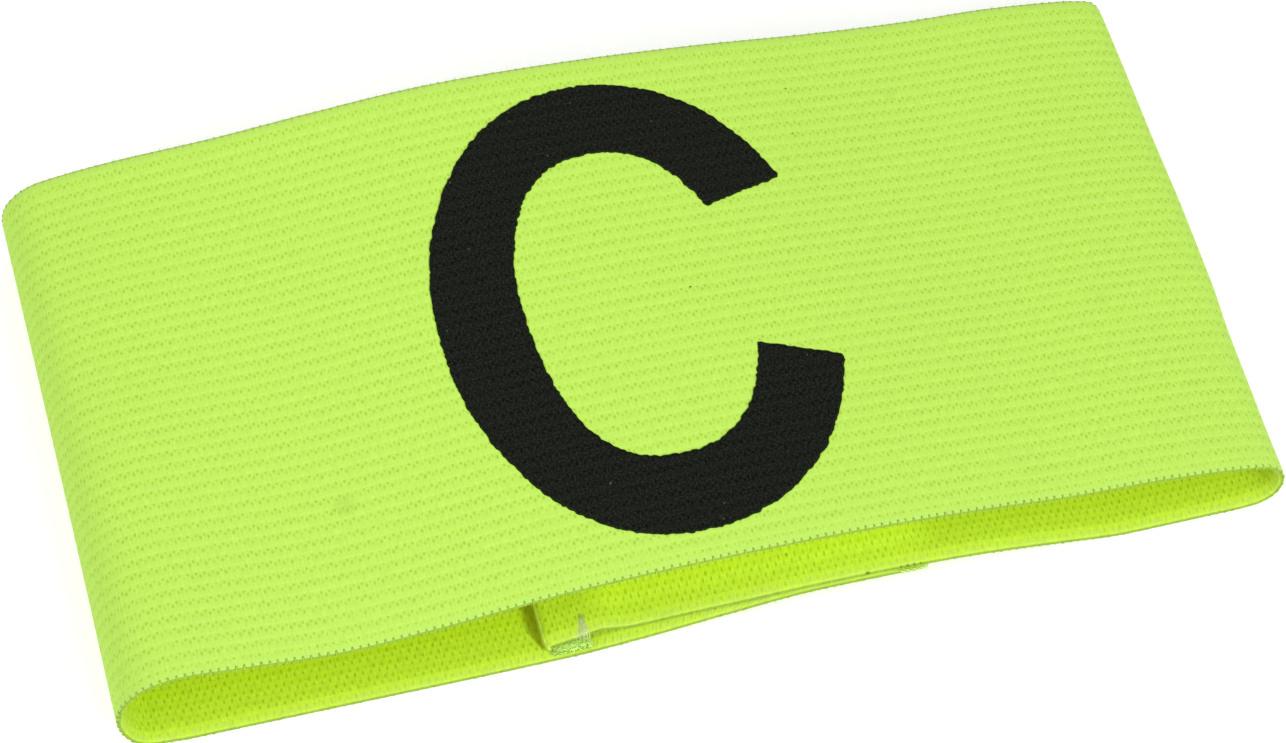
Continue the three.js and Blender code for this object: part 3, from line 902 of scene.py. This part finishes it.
INK_FIBRE_SCALE = 3800.0
INK_RIM = (0.00004, 0.00026)   # distances from the film's edge at which the green fades out
INK_RIM_STRENGTH = 0.9
INK_RELIEF = 0.6
INK_BUMP = 0.00012
SPECK_SCALE = 1500.0
PILE_SCALE = 1700.0
PILE_FUZZ_SCALE = 2500.0
PILE_BUMP = 0.0003
FLOOR_GRAIN_SCALE = 900.0


def print_material():
    """Black ink on the knit: the stitches show in it as relief, it thins out to a dark green at its
    edges, and a few specks are left bare."""
    recipe = Recipe("print_ink")
    knit = knit_pattern(recipe, OUTER_KNIT)
    fibres = recipe.noise(knit["uv"], INK_FIBRE_SCALE, 4.0)
    edge = recipe.node("ShaderNodeAttribute", {"attribute_name": "ink_edge"}).outputs["Fac"]
    colour = recipe.blend(recipe.fade(fibres, 0.42, 0.68), dyed(17, 20, 13), dyed(43, 46, 39))
    colour = recipe.blend(recipe.times(knit["dots"], 0.9), colour, dyed(8, 10, 4))
    colour = recipe.blend(recipe.near(edge, INK_RIM, INK_RIM_STRENGTH), colour, dyed(28, 52, 0))
    specks = recipe.fade(recipe.noise(knit["uv"], SPECK_SCALE, 0.0), 0.83, 0.9)
    colour = recipe.blend(recipe.times(specks, 0.5), colour, dyed(120, 125, 110))
    height = recipe.add(
        recipe.times(knit["dots"], -1.0), recipe.times(knit["thread"], THREAD_RELIEF),
        recipe.times(fibres, INK_RELIEF))
    return recipe.finish(
        Base_Color=colour,
        Roughness=recipe.fade(fibres, 0.3, 0.7, 0.6, 0.85),
        Normal=recipe.bump(height, INK_BUMP),
        Specular_IOR_Level=0.05,
    )


def patch_material():
    """Hook-and-loop tape: a dense black pile."""
    recipe = Recipe("hook_and_loop_tape")
    place = recipe.place()
    pile = recipe.node("ShaderNodeTexVoronoi", {"feature": "F1"}, Vector=place, Scale=PILE_SCALE)
    fuzz = recipe.noise(place, PILE_FUZZ_SCALE, 4.0)
    colour = recipe.blend(recipe.fade(fuzz, 0.3, 0.7), dyed(24, 24, 25), dyed(60, 60, 63))
    height = recipe.add(recipe.times(pile.outputs["Distance"], -1.0), recipe.times(fuzz, 0.6))
    return recipe.finish(
        Base_Color=colour,
        Roughness=recipe.fade(fuzz, 0.2, 0.8, 0.8, 1.0),
        Normal=recipe.bump(height, PILE_BUMP),
        Specular_IOR_Level=0.2,
        Sheen_Weight=0.1,
    )


def floor_material():
    recipe = Recipe("pale_floor")
    grain = recipe.noise(recipe.place(), FLOOR_GRAIN_SCALE, 3.0)
    white = recipe.blend(grain, (0.95, 0.95, 0.95, 1), (0.98, 0.98, 0.98, 1))
    return recipe.finish(Base_Color=white, Roughness=0.9, Specular_IOR_Level=0.1)


# Threads

THREAD_SIDES = 6


def model_arch(radius, start, end, thickness, steps, leg):
    """One arched thread, spun from a ring of points, with a leg drawn out straight at its end. It lies
    in the YZ plane round the origin, and its angles count from +Z towards +Y."""
    bpy.ops.mesh.primitive_circle_add(
        vertices=THREAD_SIDES, radius=thickness / 2, fill_type="NGON",
        location=(0, radius * math.sin(start), radius * math.cos(start)),
        rotation=(math.pi / 2 - start, 0, 0))
    arch = bpy.context.active_object
    only(arch)
    bpy.ops.object.transform_apply(location=True, rotation=True, scale=True)
    bpy.ops.object.mode_set(mode="EDIT")
    bpy.ops.mesh.select_all(action="SELECT")
    bpy.ops.mesh.spin(steps=steps, angle=start - end, center=(0, 0, 0), axis=(1, 0, 0))
    onward = Vector((0, math.cos(end), -math.sin(end))) * leg
    bpy.ops.mesh.extrude_region_move(TRANSFORM_OT_translate={"value": onward})
    bpy.ops.mesh.select_all(action="SELECT")
    bpy.ops.mesh.remove_doubles(threshold=1e-7)
    bpy.ops.mesh.normals_make_consistent(inside=False)
    bpy.ops.object.mode_set(mode="OBJECT")
    return arch


def repeat(name, model, places, shades, material):
    """Copies of a model as one piece. A place is an origin and the model's own X, Y and Z there. The
    material reads each copy's shade."""
    count = len(model.data.vertices)
    shape = np.zeros(count * 3)
    model.data.vertices.foreach_get("co", shape)
    shape = shape.reshape(-1, 3)
    faces = [list(polygon.vertices) for polygon in model.data.polygons]
    points = np.concatenate([origin + shape @ np.array(axes) for origin, axes in places])
    points[:, 2] = np.maximum(points[:, 2], 0)
    copies = [[corner + count * index for corner in face] for index in range(len(places)) for face in faces]
    piece = new_object(name, points, copies)
    shade = piece.data.attributes.new("shade", "FLOAT", "POINT")
    shade.data.foreach_set("value", np.repeat(shades, count))
    piece.data.materials.append(material)
    bpy.data.objects.remove(model, do_unlink=True)
    return piece


LOOP_RADIUS = 0.00034
LOOP_THREAD = 0.00008
LOOP_STRETCH = 2.6             # how many times wider along the edge than thick a loop is
LOOP_LEG = 0.00012
LOOP_START = math.radians(-140)
LOOP_END = math.radians(100)
LOOP_STEPS = 9
LOOP_TURN = math.radians(35)   # towards the outer face
LOOP_LEAN = 0.12               # of the loops along the edge, as a share of their radius
LOOP_WIDTHS = (0.8, 1.1)
LOOP_HEIGHTS = (0.95, 1.1)
LOOP_INSET = 0.00022           # of the loop's middle from the strip's edge
LOOP_INSET_STRAY = (-0.00005, 0.00003)
LOOP_REACH = 0.92              # beyond that middle, as a share of the radius
OLIVE_REACH = (0.0, 0.2)       # more of it, where the yarn is olive
LOOP_SHADES = (0.7, 1.0)
LIME_HEIGHT = 0.0055           # up to which the yarn of the edges stays lime
OLIVE_HEIGHT = 0.0085          # and from which on it is olive
OLIVE_HEM = (0.0055, 0.0075)   # from the hem's crest, up to where its yarn is olive and from where lime
OLIVE_HEM_SHADE = 0.8


def read_edge(edge_line):
    """Lengths along one long edge of the strip, and a function that gives the place and the
    direction out of the outer face at one of them."""
    path = MIDDLE[edge_line]
    along = lengths_along(path)
    normals = outwards(path[:, 0], path[:, 2])

    def read(length):
        place = np.array([np.interp(length, along, path[:, axis]) for axis in range(3)])
        x, z = (np.interp(length, along, normals[:, axis]) for axis in range(2))
        return place, np.array([x, 0, z])

    return along, read


def make_selvedge(name, edge_line, side, olive_share, material):
    """Yarn loops over one long edge of the strip, one to each stitch."""
    along, read = read_edge(edge_line)
    draw = np.random.default_rng(SEEDS["selvedge"] + side)
    places, shades = [], []
    for stitch in np.arange(STITCH_PITCH, ALONG[-1], STITCH_PITCH):
        origin, normal = read(np.interp(stitch, ALONG, along))
        normal /= np.linalg.norm(normal)
        out = np.array([0, side, 0])
        forward = np.cross(out, normal)
        lean = forward * draw.normal(0, LOOP_LEAN)
        wide = forward * LOOP_STRETCH * draw.uniform(*LOOP_WIDTHS)
        inboard = origin + normal * EDGE_SHIFT - out * (LOOP_INSET + draw.uniform(*LOOP_INSET_STRAY))
        olive = smooth(origin[2], LIME_HEIGHT, OLIVE_HEIGHT) * olive_share
        reach = LOOP_REACH + olive * draw.uniform(*OLIVE_REACH)
        over = normal * math.cos(LOOP_TURN) - out * math.sin(LOOP_TURN)
        beyond = out * math.cos(LOOP_TURN) + normal * math.sin(LOOP_TURN)
        places.append((inboard, (wide, over * draw.uniform(*LOOP_HEIGHTS) + lean, beyond * reach)))
        by_hem = 1 - smooth(abs(stitch - HEM_CREST), *OLIVE_HEM)
        shades.append(max(olive, OLIVE_HEM_SHADE * by_hem * olive_share) * draw.uniform(*LOOP_SHADES))
    model = model_arch(LOOP_RADIUS, LOOP_START, LOOP_END, LOOP_THREAD, LOOP_STEPS, LOOP_LEG)
    return repeat(name, model, places, shades, material)


NO_THREAD_HEADING = (0.31, 0.17, 0.94)   # a direction that no thread takes


def thread_tubes(name, paths, thickness, material, sides=4):
    """Thin threads along paths of points, as one piece."""
    points, faces = [], []
    for path in paths:
        path = np.asarray(path)
        ahead = np.gradient(path, axis=0)
        ahead /= np.linalg.norm(ahead, axis=1, keepdims=True)
        aside = np.cross(ahead, NO_THREAD_HEADING)
        aside /= np.linalg.norm(aside, axis=1, keepdims=True)
        above = np.cross(aside, ahead)
        first = len(points)
        for place, one, other in zip(path, aside, above):
            for corner in range(sides):
                angle = 2 * math.pi * corner / sides
                points.append(place + thickness / 2 * (one * math.cos(angle) + other * math.sin(angle)))
        for step in range(len(path) - 1):
            for corner in range(sides):
                a = first + step * sides + corner
                b = first + step * sides + (corner + 1) % sides
                faces.append((a, b, b + sides, a + sides))
        faces.append(tuple(first + corner for corner in reversed(range(sides))))
        faces.append(tuple(first + (len(path) - 1) * sides + corner for corner in range(sides)))
    piece = new_object(name, points, faces)
    piece.data.materials.append(material)
    return piece


FUZZ_PER_STITCH = 6
FUZZ_THICKNESS = 0.000025
FUZZ_LENGTHS = (0.0001, 0.0003)
FUZZ_INSET = 0.00005
FUZZ_STRAY = 0.0002            # of the roots through the strip's thickness
FUZZ_LEAN = 0.45
FUZZ_CURL = 0.5


def make_fuzz(name, edge_line, side, material):
    """Loose fibres that stand out from one long edge of the strip."""
    along, read = read_edge(edge_line)
    draw = np.random.default_rng(SEEDS["fuzz"] + side)
    fibres = []
    for at in np.sort(draw.uniform(0, along[-1], int(along[-1] / STITCH_PITCH * FUZZ_PER_STITCH))):
        start, normal = read(at)
        start += normal * (EDGE_SHIFT + draw.uniform(-FUZZ_STRAY, FUZZ_STRAY))
        start -= np.array([0, side * FUZZ_INSET, 0])
        length = draw.uniform(*FUZZ_LENGTHS)
        heading = np.array([0, side, 0]) + draw.normal(0, FUZZ_LEAN, 3)
        curl = draw.normal(0, FUZZ_CURL, 3)
        fibre = np.array(
            [start + length * (share * heading + share**2 * curl) for share in (0, 0.4, 0.7, 1)])
        fibre[:, 2] = np.maximum(fibre[:, 2], FUZZ_THICKNESS)
        fibres.append(fibre)
    return thread_tubes(name, fibres, FUZZ_THICKNESS, material, sides=3)


TACK_STRANDS = 24
TACK_TOP_STRAY = 0.0003        # of the strands along the strip, at their tops
TACK_FOOT_STRAY = 0.0009       # and at the edge
TACK_HEIGHTS = (0.55, 1.0)     # of the strands, as shares of the tack's own
TACK_LIFT = (0.00004, 0.00012)
TACK_EDGE = 0.0001
TACK_STANDOFF = 0.00022        # of the strands from the edge that they fall over
TACK_FALL = (0.0006, 0.0021)
TACK_FALL_STRAY = 0.00006
TACK_THREAD = 0.00003
TACK_LIGHT_YARN = (0.62, 0.71, 0.37, 1.0)
TACK_DARK_YARN = (0.5, 0.6, 0.26, 1.0)


def make_tack():
    """Pale thread that holds down the hem's front corner: from a point on the hem over its edge."""
    draw = np.random.default_rng(SEEDS["tack"])
    top, _ = along_strip(TACK_PLACE + TACK_LEAN, -HALF_WIDTH, INNER_LAYER)
    foot, _ = along_strip(TACK_PLACE, -HALF_WIDTH, INNER_LAYER)
    paths = []
    for _ in range(TACK_STRANDS):
        start = top + draw.normal(0, TACK_TOP_STRAY)
        end = foot + draw.uniform(-TACK_FOOT_STRAY, TACK_FOOT_STRAY)
        tall = TACK_TOP * draw.uniform(*TACK_HEIGHTS)
        lift = draw.uniform(*TACK_LIFT)
        path = []
        for share in np.linspace(0, 1, 7):
            across = -HALF_WIDTH + tall * (1 - share) + TACK_EDGE * share
            place = on_face(INNER_FACE, start + (end - start) * share, across)
            path.append(place + np.array([0, -TACK_EDGE * share, lift]))
        edge = path[-1]
        fall = draw.uniform(*TACK_FALL)
        for share in (0.3, 0.65, 1.0):
            aside = draw.normal(0, TACK_FALL_STRAY)
            path.append(edge + np.array([aside, -TACK_STANDOFF, -lift - fall * share]))
        paths.append(path)
    tack_thread = thread_material("tack_thread", TACK_LIGHT_YARN, TACK_DARK_YARN, sheen=0.0)
    return thread_tubes("hem_tack", paths, TACK_THREAD, tack_thread)


HEM_CURLS = 46
CURL_PLACES = (0.0008, 0.0062)           # along the strip, from the hem's crest
CURL_INSETS = (0.0, 0.0008)
CURL_RADII = (0.00012, 0.00028)
CURL_TURNS = (2.2, 4.6)
CURL_TILT = 0.8
CURL_LIFT = 0.00005
CURL_THREAD = 0.00014
CURL_LIGHT_YARN = (0.49, 0.71, 0.18, 1.0)
CURL_DARK_YARN = (0.33, 0.52, 0.09, 1.0)


def make_hem_fray():
    """Curls of yarn where the hem's folded selvedge shows at the front."""
    draw = np.random.default_rng(SEEDS["fray"])
    paths = []
    for _ in range(HEM_CURLS):
        along = HEM_CREST + draw.uniform(*CURL_PLACES)
        middle = on_face(OUTER_FACE, along, -HALF_WIDTH + draw.uniform(*CURL_INSETS))
        radius = draw.uniform(*CURL_RADII)
        turn = draw.uniform(0, 2 * math.pi)
        arc = np.linspace(turn, turn + draw.uniform(*CURL_TURNS), 7)
        tilt = draw.uniform(-CURL_TILT, CURL_TILT)
        up = CURL_LIFT + radius * np.sin(arc) * tilt / 2
        paths.append(middle + np.stack([radius * np.cos(arc), radius * np.sin(arc), up], axis=1))
    fray_yarn = thread_material("fray_yarn", CURL_LIGHT_YARN, CURL_DARK_YARN)
    return thread_tubes("hem_fray", paths, CURL_THREAD, fray_yarn)


ZIGZAG_SCALLOPS = 4
ZIGZAG_PLACE = 0.0241
ZIGZAG_PITCH = 0.00085
ZIGZAG_HALF_WIDTH = 0.00041
ZIGZAG_HEIGHT = 0.00042
ZIGZAG_DROP = 0.0001
ZIGZAG_STANDOFF = 0.00034
ZIGZAG_POINTS = 9
ZIGZAG_THREAD = 0.00014
ZIGZAG_LIGHT_YARN = (0.48, 0.71, 0.18, 1.0)
ZIGZAG_DARK_YARN = (0.38, 0.59, 0.11, 1.0)


def make_zigzag():
    """Stitches that show between the layers at the front, by the plain end's tip."""
    paths = []
    angle = np.linspace(0.05, math.pi - 0.05, ZIGZAG_POINTS)
    for scallop in range(ZIGZAG_SCALLOPS):
        centre, _ = along_strip(ZIGZAG_PLACE + ZIGZAG_PITCH * scallop, -HALF_WIDTH, INNER_LAYER)
        edge = on_face(INNER_FACE, centre, -HALF_WIDTH)
        paths.append(edge + np.stack([
            ZIGZAG_HALF_WIDTH * np.cos(angle),
            np.full(ZIGZAG_POINTS, -ZIGZAG_STANDOFF),
            -ZIGZAG_DROP - ZIGZAG_HEIGHT * np.sin(angle)], axis=1))
    zigzag_thread = thread_material("zigzag_thread", ZIGZAG_LIGHT_YARN, ZIGZAG_DARK_YARN)
    return thread_tubes("end_zigzag", paths, ZIGZAG_THREAD, zigzag_thread)


# The print

RAGGED = 0.00009               # how far the ink's edge strays
MOST_RAGGED = 1.6              # of that, at most
RAGGED_POINTS = 4              # of the outline to each stray
OUTLINE_STEP = 0.0001
RIM_STEP = 0.00002             # of the finer outline that the film's edge is moved onto
OVAL_POINTS = 1440
INK_BAND = 0.0006              # width at the edge in which the ink's thinning is told apart
PRINT_CELL = 0.00034
PRINT_LIFT = 0.00004
PRINT_THICKNESS = 0.00006

# How far the letter's two edges lie outside plain ovals. Columns: direction from the letter's
# middle in degrees, the outer edge, the inner edge.
LETTER_STRAY = [
    {"at": 0, "outer": 0.0, "inner": -0.0003},
    {"at": 45, "outer": 0.0003, "inner": -0.00035},
    {"at": 60, "outer": 0.0004, "inner": -0.0005},
    {"at": 78, "outer": 0.00015, "inner": -0.0002},
    {"at": 100, "outer": 0.00015, "inner": 0.00012},
    {"at": 130, "outer": 0.00005, "inner": -0.00003},
    {"at": 162, "outer": 0.00022, "inner": 0.00006},
    {"at": 185, "outer": 0.00012, "inner": -0.0002},
    {"at": 205, "outer": -0.00005, "inner": -0.00045},
    {"at": 226, "outer": -0.00038, "inner": -0.0006},
    {"at": 245, "outer": -0.00005, "inner": -0.00055},
    {"at": 262, "outer": 0.00024, "inner": -0.00055},
    {"at": 285, "outer": 0.00032, "inner": -0.00052},
    {"at": 305, "outer": 0.0005, "inner": -0.0004},
    {"at": 325, "outer": 0.00015, "inner": -0.0003},
    {"at": 360, "outer": 0.0, "inner": -0.0003},
]


def oval(half_across, half_up, fullness, edge):
    """One edge of the letter, before its mouth is cut: a full oval, with its strays."""
    angle = np.linspace(0, 2 * np.pi, OVAL_POINTS, endpoint=False)
    across = half_across * np.sign(np.cos(angle)) * np.abs(np.cos(angle)) ** (2 / fullness)
    up = half_up * np.sign(np.sin(angle)) * np.abs(np.sin(angle)) ** (2 / fullness)
    direction = np.degrees(np.arctan2(up, across)) % 360
    stray = np.interp(
        direction, [row["at"] for row in LETTER_STRAY], [row[edge] for row in LETTER_STRAY])
    radius = np.hypot(across, up)
    across, up = across * (1 + stray / radius), up * (1 + stray / radius)
    return np.stack([LETTER_PLACE + across, up], axis=1)


def evenly(points, step):
    """A closed line through points again, with its points a step apart."""
    points = np.vstack([points, points[:1]])
    along = lengths_along(points)
    count = int(round(along[-1] / step))
    at = np.linspace(0, along[-1], count, endpoint=False)
    return np.stack([np.interp(at, along, points[:, axis]) for axis in range(2)], axis=1)


def letter_outline():
    """The letter's edge: two ovals cut open by a mouth with straight sides, and a little ragged."""
    inner_across = LETTER_WIDTH / 2 - LETTER_SIDE_STROKE
    inner_up = LETTER_HEIGHT / 2 - LETTER_END_STROKE
    corner = LETTER_PLACE + inner_across

    def outside_mouth(points):
        top = LETTER_MOUTH_TOP + LETTER_MOUTH_TOP_SLOPE * (points[:, 0] - corner)
        bottom = LETTER_MOUTH_BOTTOM + LETTER_MOUTH_BOTTOM_SLOPE * (points[:, 0] - corner)
        in_mouth = (points[:, 0] > 0) & (points[:, 1] < top) & (points[:, 1] > bottom)
        return points[~in_mouth]

    outer = outside_mouth(oval(LETTER_WIDTH / 2, LETTER_HEIGHT / 2, LETTER_OUTER_FULLNESS, "outer"))
    inner = outside_mouth(oval(inner_across, inner_up, LETTER_INNER_FULLNESS, "inner"))
    line = evenly(np.vstack([outer, inner[::-1]]), OUTLINE_STEP)
    draw = np.random.default_rng(SEEDS["print"])
    across = np.roll(line, -1, axis=0) - np.roll(line, 1, axis=0)
    across = np.stack([across[:, 1], -across[:, 0]], axis=1)
    across /= np.linalg.norm(across, axis=1, keepdims=True)
    knots = draw.normal(0, 1, len(line) // RAGGED_POINTS)
    places = np.arange(len(line)) / len(line) * len(knots)
    stray = np.interp(places, np.arange(len(knots) + 1), [*knots, knots[0]])
    return line + across * (RAGGED * np.clip(stray, -MOST_RAGGED, MOST_RAGGED))[:, None]


def inside(points, outline):
    """Whether points lie inside a closed outline."""
    held = np.zeros(len(points), bool)
    x, y = points[:, 0], points[:, 1]
    for (ax, ay), (bx, by) in zip(outline, np.roll(outline, -1, axis=0)):
        if ay != by:
            crosses = (ay > y) != (by > y)
            held ^= crosses & (x < (bx - ax) * (y - ay) / (by - ay) + ax)
    return held


def on_upper_wall(x, y):
    """Height of the upper wall's outer face over places, and their own places along the strip."""
    across = y - CENTRE_SHIFT
    line = np.clip(np.searchsorted(LINES, across) - 1, 0, len(LINES) - 2)
    share = (across - LINES[line]) / (LINES[line + 1] - LINES[line])
    height, along = np.zeros(len(x)), np.zeros(len(x))
    for index in np.unique(line):
        here = line == index
        for row, weight in ((index, 1 - share[here]), (index + 1, share[here])):
            face = OUTER_FACE[row, UPPER_WALL]
            height[here] += weight * np.interp(x[here], face[:, 0], face[:, 2])
            along[here] += weight * np.interp(x[here], face[:, 0], ALONG[UPPER_WALL])
    return height, along


def make_print():
    outline = letter_outline()
    low, high = outline.min(axis=0) - PRINT_CELL, outline.max(axis=0) + PRINT_CELL
    cells = [int(count) for count in np.ceil((high - low) / PRINT_CELL)]
    ink = flat_grid("printed_ink", cells, (*(low + high) / 2, 0), high - low)

    # Faces outside the outline go, and the points left at the edge move onto it
    centres = np.array([polygon.center[:2] for polygon in ink.data.polygons])
    outside = ~inside(centres, outline)
    bpy.ops.object.mode_set(mode="EDIT")
    bpy.ops.mesh.select_all(action="DESELECT")
    bpy.ops.object.mode_set(mode="OBJECT")
    ink.data.polygons.foreach_set("select", outside)
    bpy.ops.object.mode_set(mode="EDIT")
    bpy.ops.mesh.select_mode(type="FACE")
    bpy.ops.mesh.delete(type="FACE")
    bpy.ops.object.mode_set(mode="OBJECT")
    uses = np.zeros(len(ink.data.edges), int)
    edges = np.zeros(len(ink.data.loops), int)
    ink.data.loops.foreach_get("edge_index", edges)
    np.add.at(uses, edges, 1)
    rim = {corner for edge, count in zip(ink.data.edges, uses) if count == 1 for corner in edge.vertices}
    dense = evenly(outline, RIM_STEP)
    tree = KDTree(len(dense))
    for index, point in enumerate(dense):
        tree.insert((point[0], point[1], 0), index)
    tree.balance()
    points = np.zeros(len(ink.data.vertices) * 3)
    ink.data.vertices.foreach_get("co", points)
    points = points.reshape(-1, 3)
    for corner in rim:
        points[corner] = tree.find(points[corner])[0]

    # The ink lies on the ribs of the upper wall
    places = points[:, 1].copy()
    points[:, 1] += CENTRE_SHIFT
    height, along = on_upper_wall(points[:, 0], points[:, 1])
    points[:, 2] = height + PRINT_LIFT
    ink.data.vertices.foreach_set("co", points.ravel())
    ink.data.update()
    for layer in list(ink.data.uv_layers):
        ink.data.uv_layers.remove(layer)
    set_uv(ink, np.stack([along, places], axis=1))
    from_edge = np.array([min(INK_BAND, tree.find((x, y, 0))[2]) for x, y in zip(points[:, 0], places)])
    thinning = ink.data.attributes.new("ink_edge", "FLOAT", "POINT")
    thinning.data.foreach_set("value", from_edge)
    ink.data.polygons.foreach_set("use_smooth", [True] * len(ink.data.polygons))
    ink.data.materials.append(print_material())
    film = ink.modifiers.new("film", "SOLIDIFY")
    film.thickness = PRINT_THICKNESS
    film.offset = 1
    only(ink)
    bpy.ops.object.modifier_apply(modifier="film")
    return ink


# The fastener patch

PATCH_CELLS = (48, 60)
PATCH_ROUNDING = PATCH_THICKNESS / 5
PATCH_CREASE = math.radians(50)


def make_patch():
    """The patch between the two ends, from a flat grid that is arched with the plain end."""
    start, end = HEM_CUT + PATCH_MARGIN, OUTER_END_PLACE - PATCH_MARGIN
    middle = ((start + end) / 2, CENTRE_SHIFT, CLEARANCE + STRIP_THICKNESS + PATCH_THICKNESS)
    patch = flat_grid("hook_and_loop_tape", PATCH_CELLS, middle, (end - start, PATCH_WIDTH))
    for corner in patch.data.vertices:
        corner.co.z += float(arch_height(corner.co.x))
    plate = patch.modifiers.new("plate", "SOLIDIFY")
    plate.thickness = PATCH_THICKNESS
    plate.offset = -1
    bpy.ops.object.modifier_apply(modifier="plate")
    rounding = patch.modifiers.new("rounding", "BEVEL")
    rounding.width = PATCH_ROUNDING
    rounding.segments = 2
    bpy.ops.object.modifier_apply(modifier="rounding")
    bpy.ops.object.shade_smooth_by_angle(angle=PATCH_CREASE)
    patch.data.materials.append(patch_material())
    return patch


# Floor, light and camera

FLOOR_SIZE = 6
TENT_LIGHT = 0.64
SOFTBOXES = [
    {"name": "softbox_over", "place": (-1.15, -0.5, 1.65), "size": 2.4, "power": 41.0},
    {"name": "softbox_front", "place": (0.78, -1.7, 1.0), "size": 0.3, "power": 46.0},
]
CAMERA_PLACE = (-0.08578, -0.34040, 0.54374)
CAMERA_TURN = math.radians(14.3324)        # from straight ahead, to the right
CAMERA_FALL = math.radians(57.1652)        # of the view under the horizon
CAMERA_LENS = 144.76                       # millimetres, on a sensor 36 mm wide
SENSOR_WIDTH = 36.0


def make_floor():
    bpy.ops.object.select_all(action="DESELECT")
    bpy.ops.mesh.primitive_plane_add(size=FLOOR_SIZE)
    floor = bpy.context.active_object
    floor.name = floor.data.name = "floor"
    floor.data.materials.append(floor_material())


def make_softbox(name, place, size, power):
    box = bpy.data.lights.new(name, "AREA")
    box.shape = "SQUARE"
    box.size = size
    box.energy = power
    lamp = bpy.data.objects.new(name, box)
    lamp.location = place
    lamp.rotation_mode = "QUATERNION"
    lamp.rotation_quaternion = (-Vector(place)).to_track_quat("-Z", "Y")
    bpy.context.scene.collection.objects.link(lamp)


def make_light():
    world = bpy.data.worlds.new("light_tent")
    world.use_nodes = True
    world.node_tree.nodes["Background"].inputs["Color"].default_value = (1, 1, 1, 1)
    world.node_tree.nodes["Background"].inputs["Strength"].default_value = TENT_LIGHT
    bpy.context.scene.world = world
    for softbox in SOFTBOXES:
        make_softbox(**softbox)
    bpy.context.scene.view_settings.view_transform = "Standard"


def make_camera():
    forward = Vector((
        math.sin(CAMERA_TURN) * math.cos(CAMERA_FALL),
        math.cos(CAMERA_TURN) * math.cos(CAMERA_FALL),
        -math.sin(CAMERA_FALL)))
    right = Vector((math.cos(CAMERA_TURN), -math.sin(CAMERA_TURN), 0))
    up = right.cross(forward)
    lens = bpy.data.cameras.new("camera")
    lens.sensor_fit = "HORIZONTAL"
    lens.sensor_width = SENSOR_WIDTH
    lens.lens = CAMERA_LENS
    camera = bpy.data.objects.new("camera", lens)
    turned = Matrix((right, up, -forward)).transposed().to_4x4()
    camera.matrix_world = Matrix.Translation(CAMERA_PLACE) @ turned
    bpy.context.scene.collection.objects.link(camera)
    bpy.context.scene.camera = camera


make_camera()
make_light()
make_floor()

strip = make_strip()
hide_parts("elastic_band")

edge_yarn = selvedge_material()
edge_fibre = thread_material("edge_fibre", dyed(216, 246, 132), dyed(190, 226, 100))
olive_fibre = thread_material("olive_fibre", dyed(190, 224, 90), dyed(164, 198, 66))
threads = [
    make_selvedge("front_selvedge", FRONT_LINE, -1, 1.0, edge_yarn),
    make_selvedge("back_selvedge", BACK_LINE, 1, 0.1, edge_yarn),
    make_fuzz("front_fuzz", FRONT_LINE, -1, olive_fibre),
    make_fuzz("back_fuzz", BACK_LINE, 1, edge_fibre),
    make_tack(),
    make_hem_fray(),
    make_zigzag(),
]

ink = make_print()
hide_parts("printed_letter")

patch = make_patch()
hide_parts("hook_and_loop_patch")

for piece in (strip, *threads, ink, patch):
    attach(piece, "root")
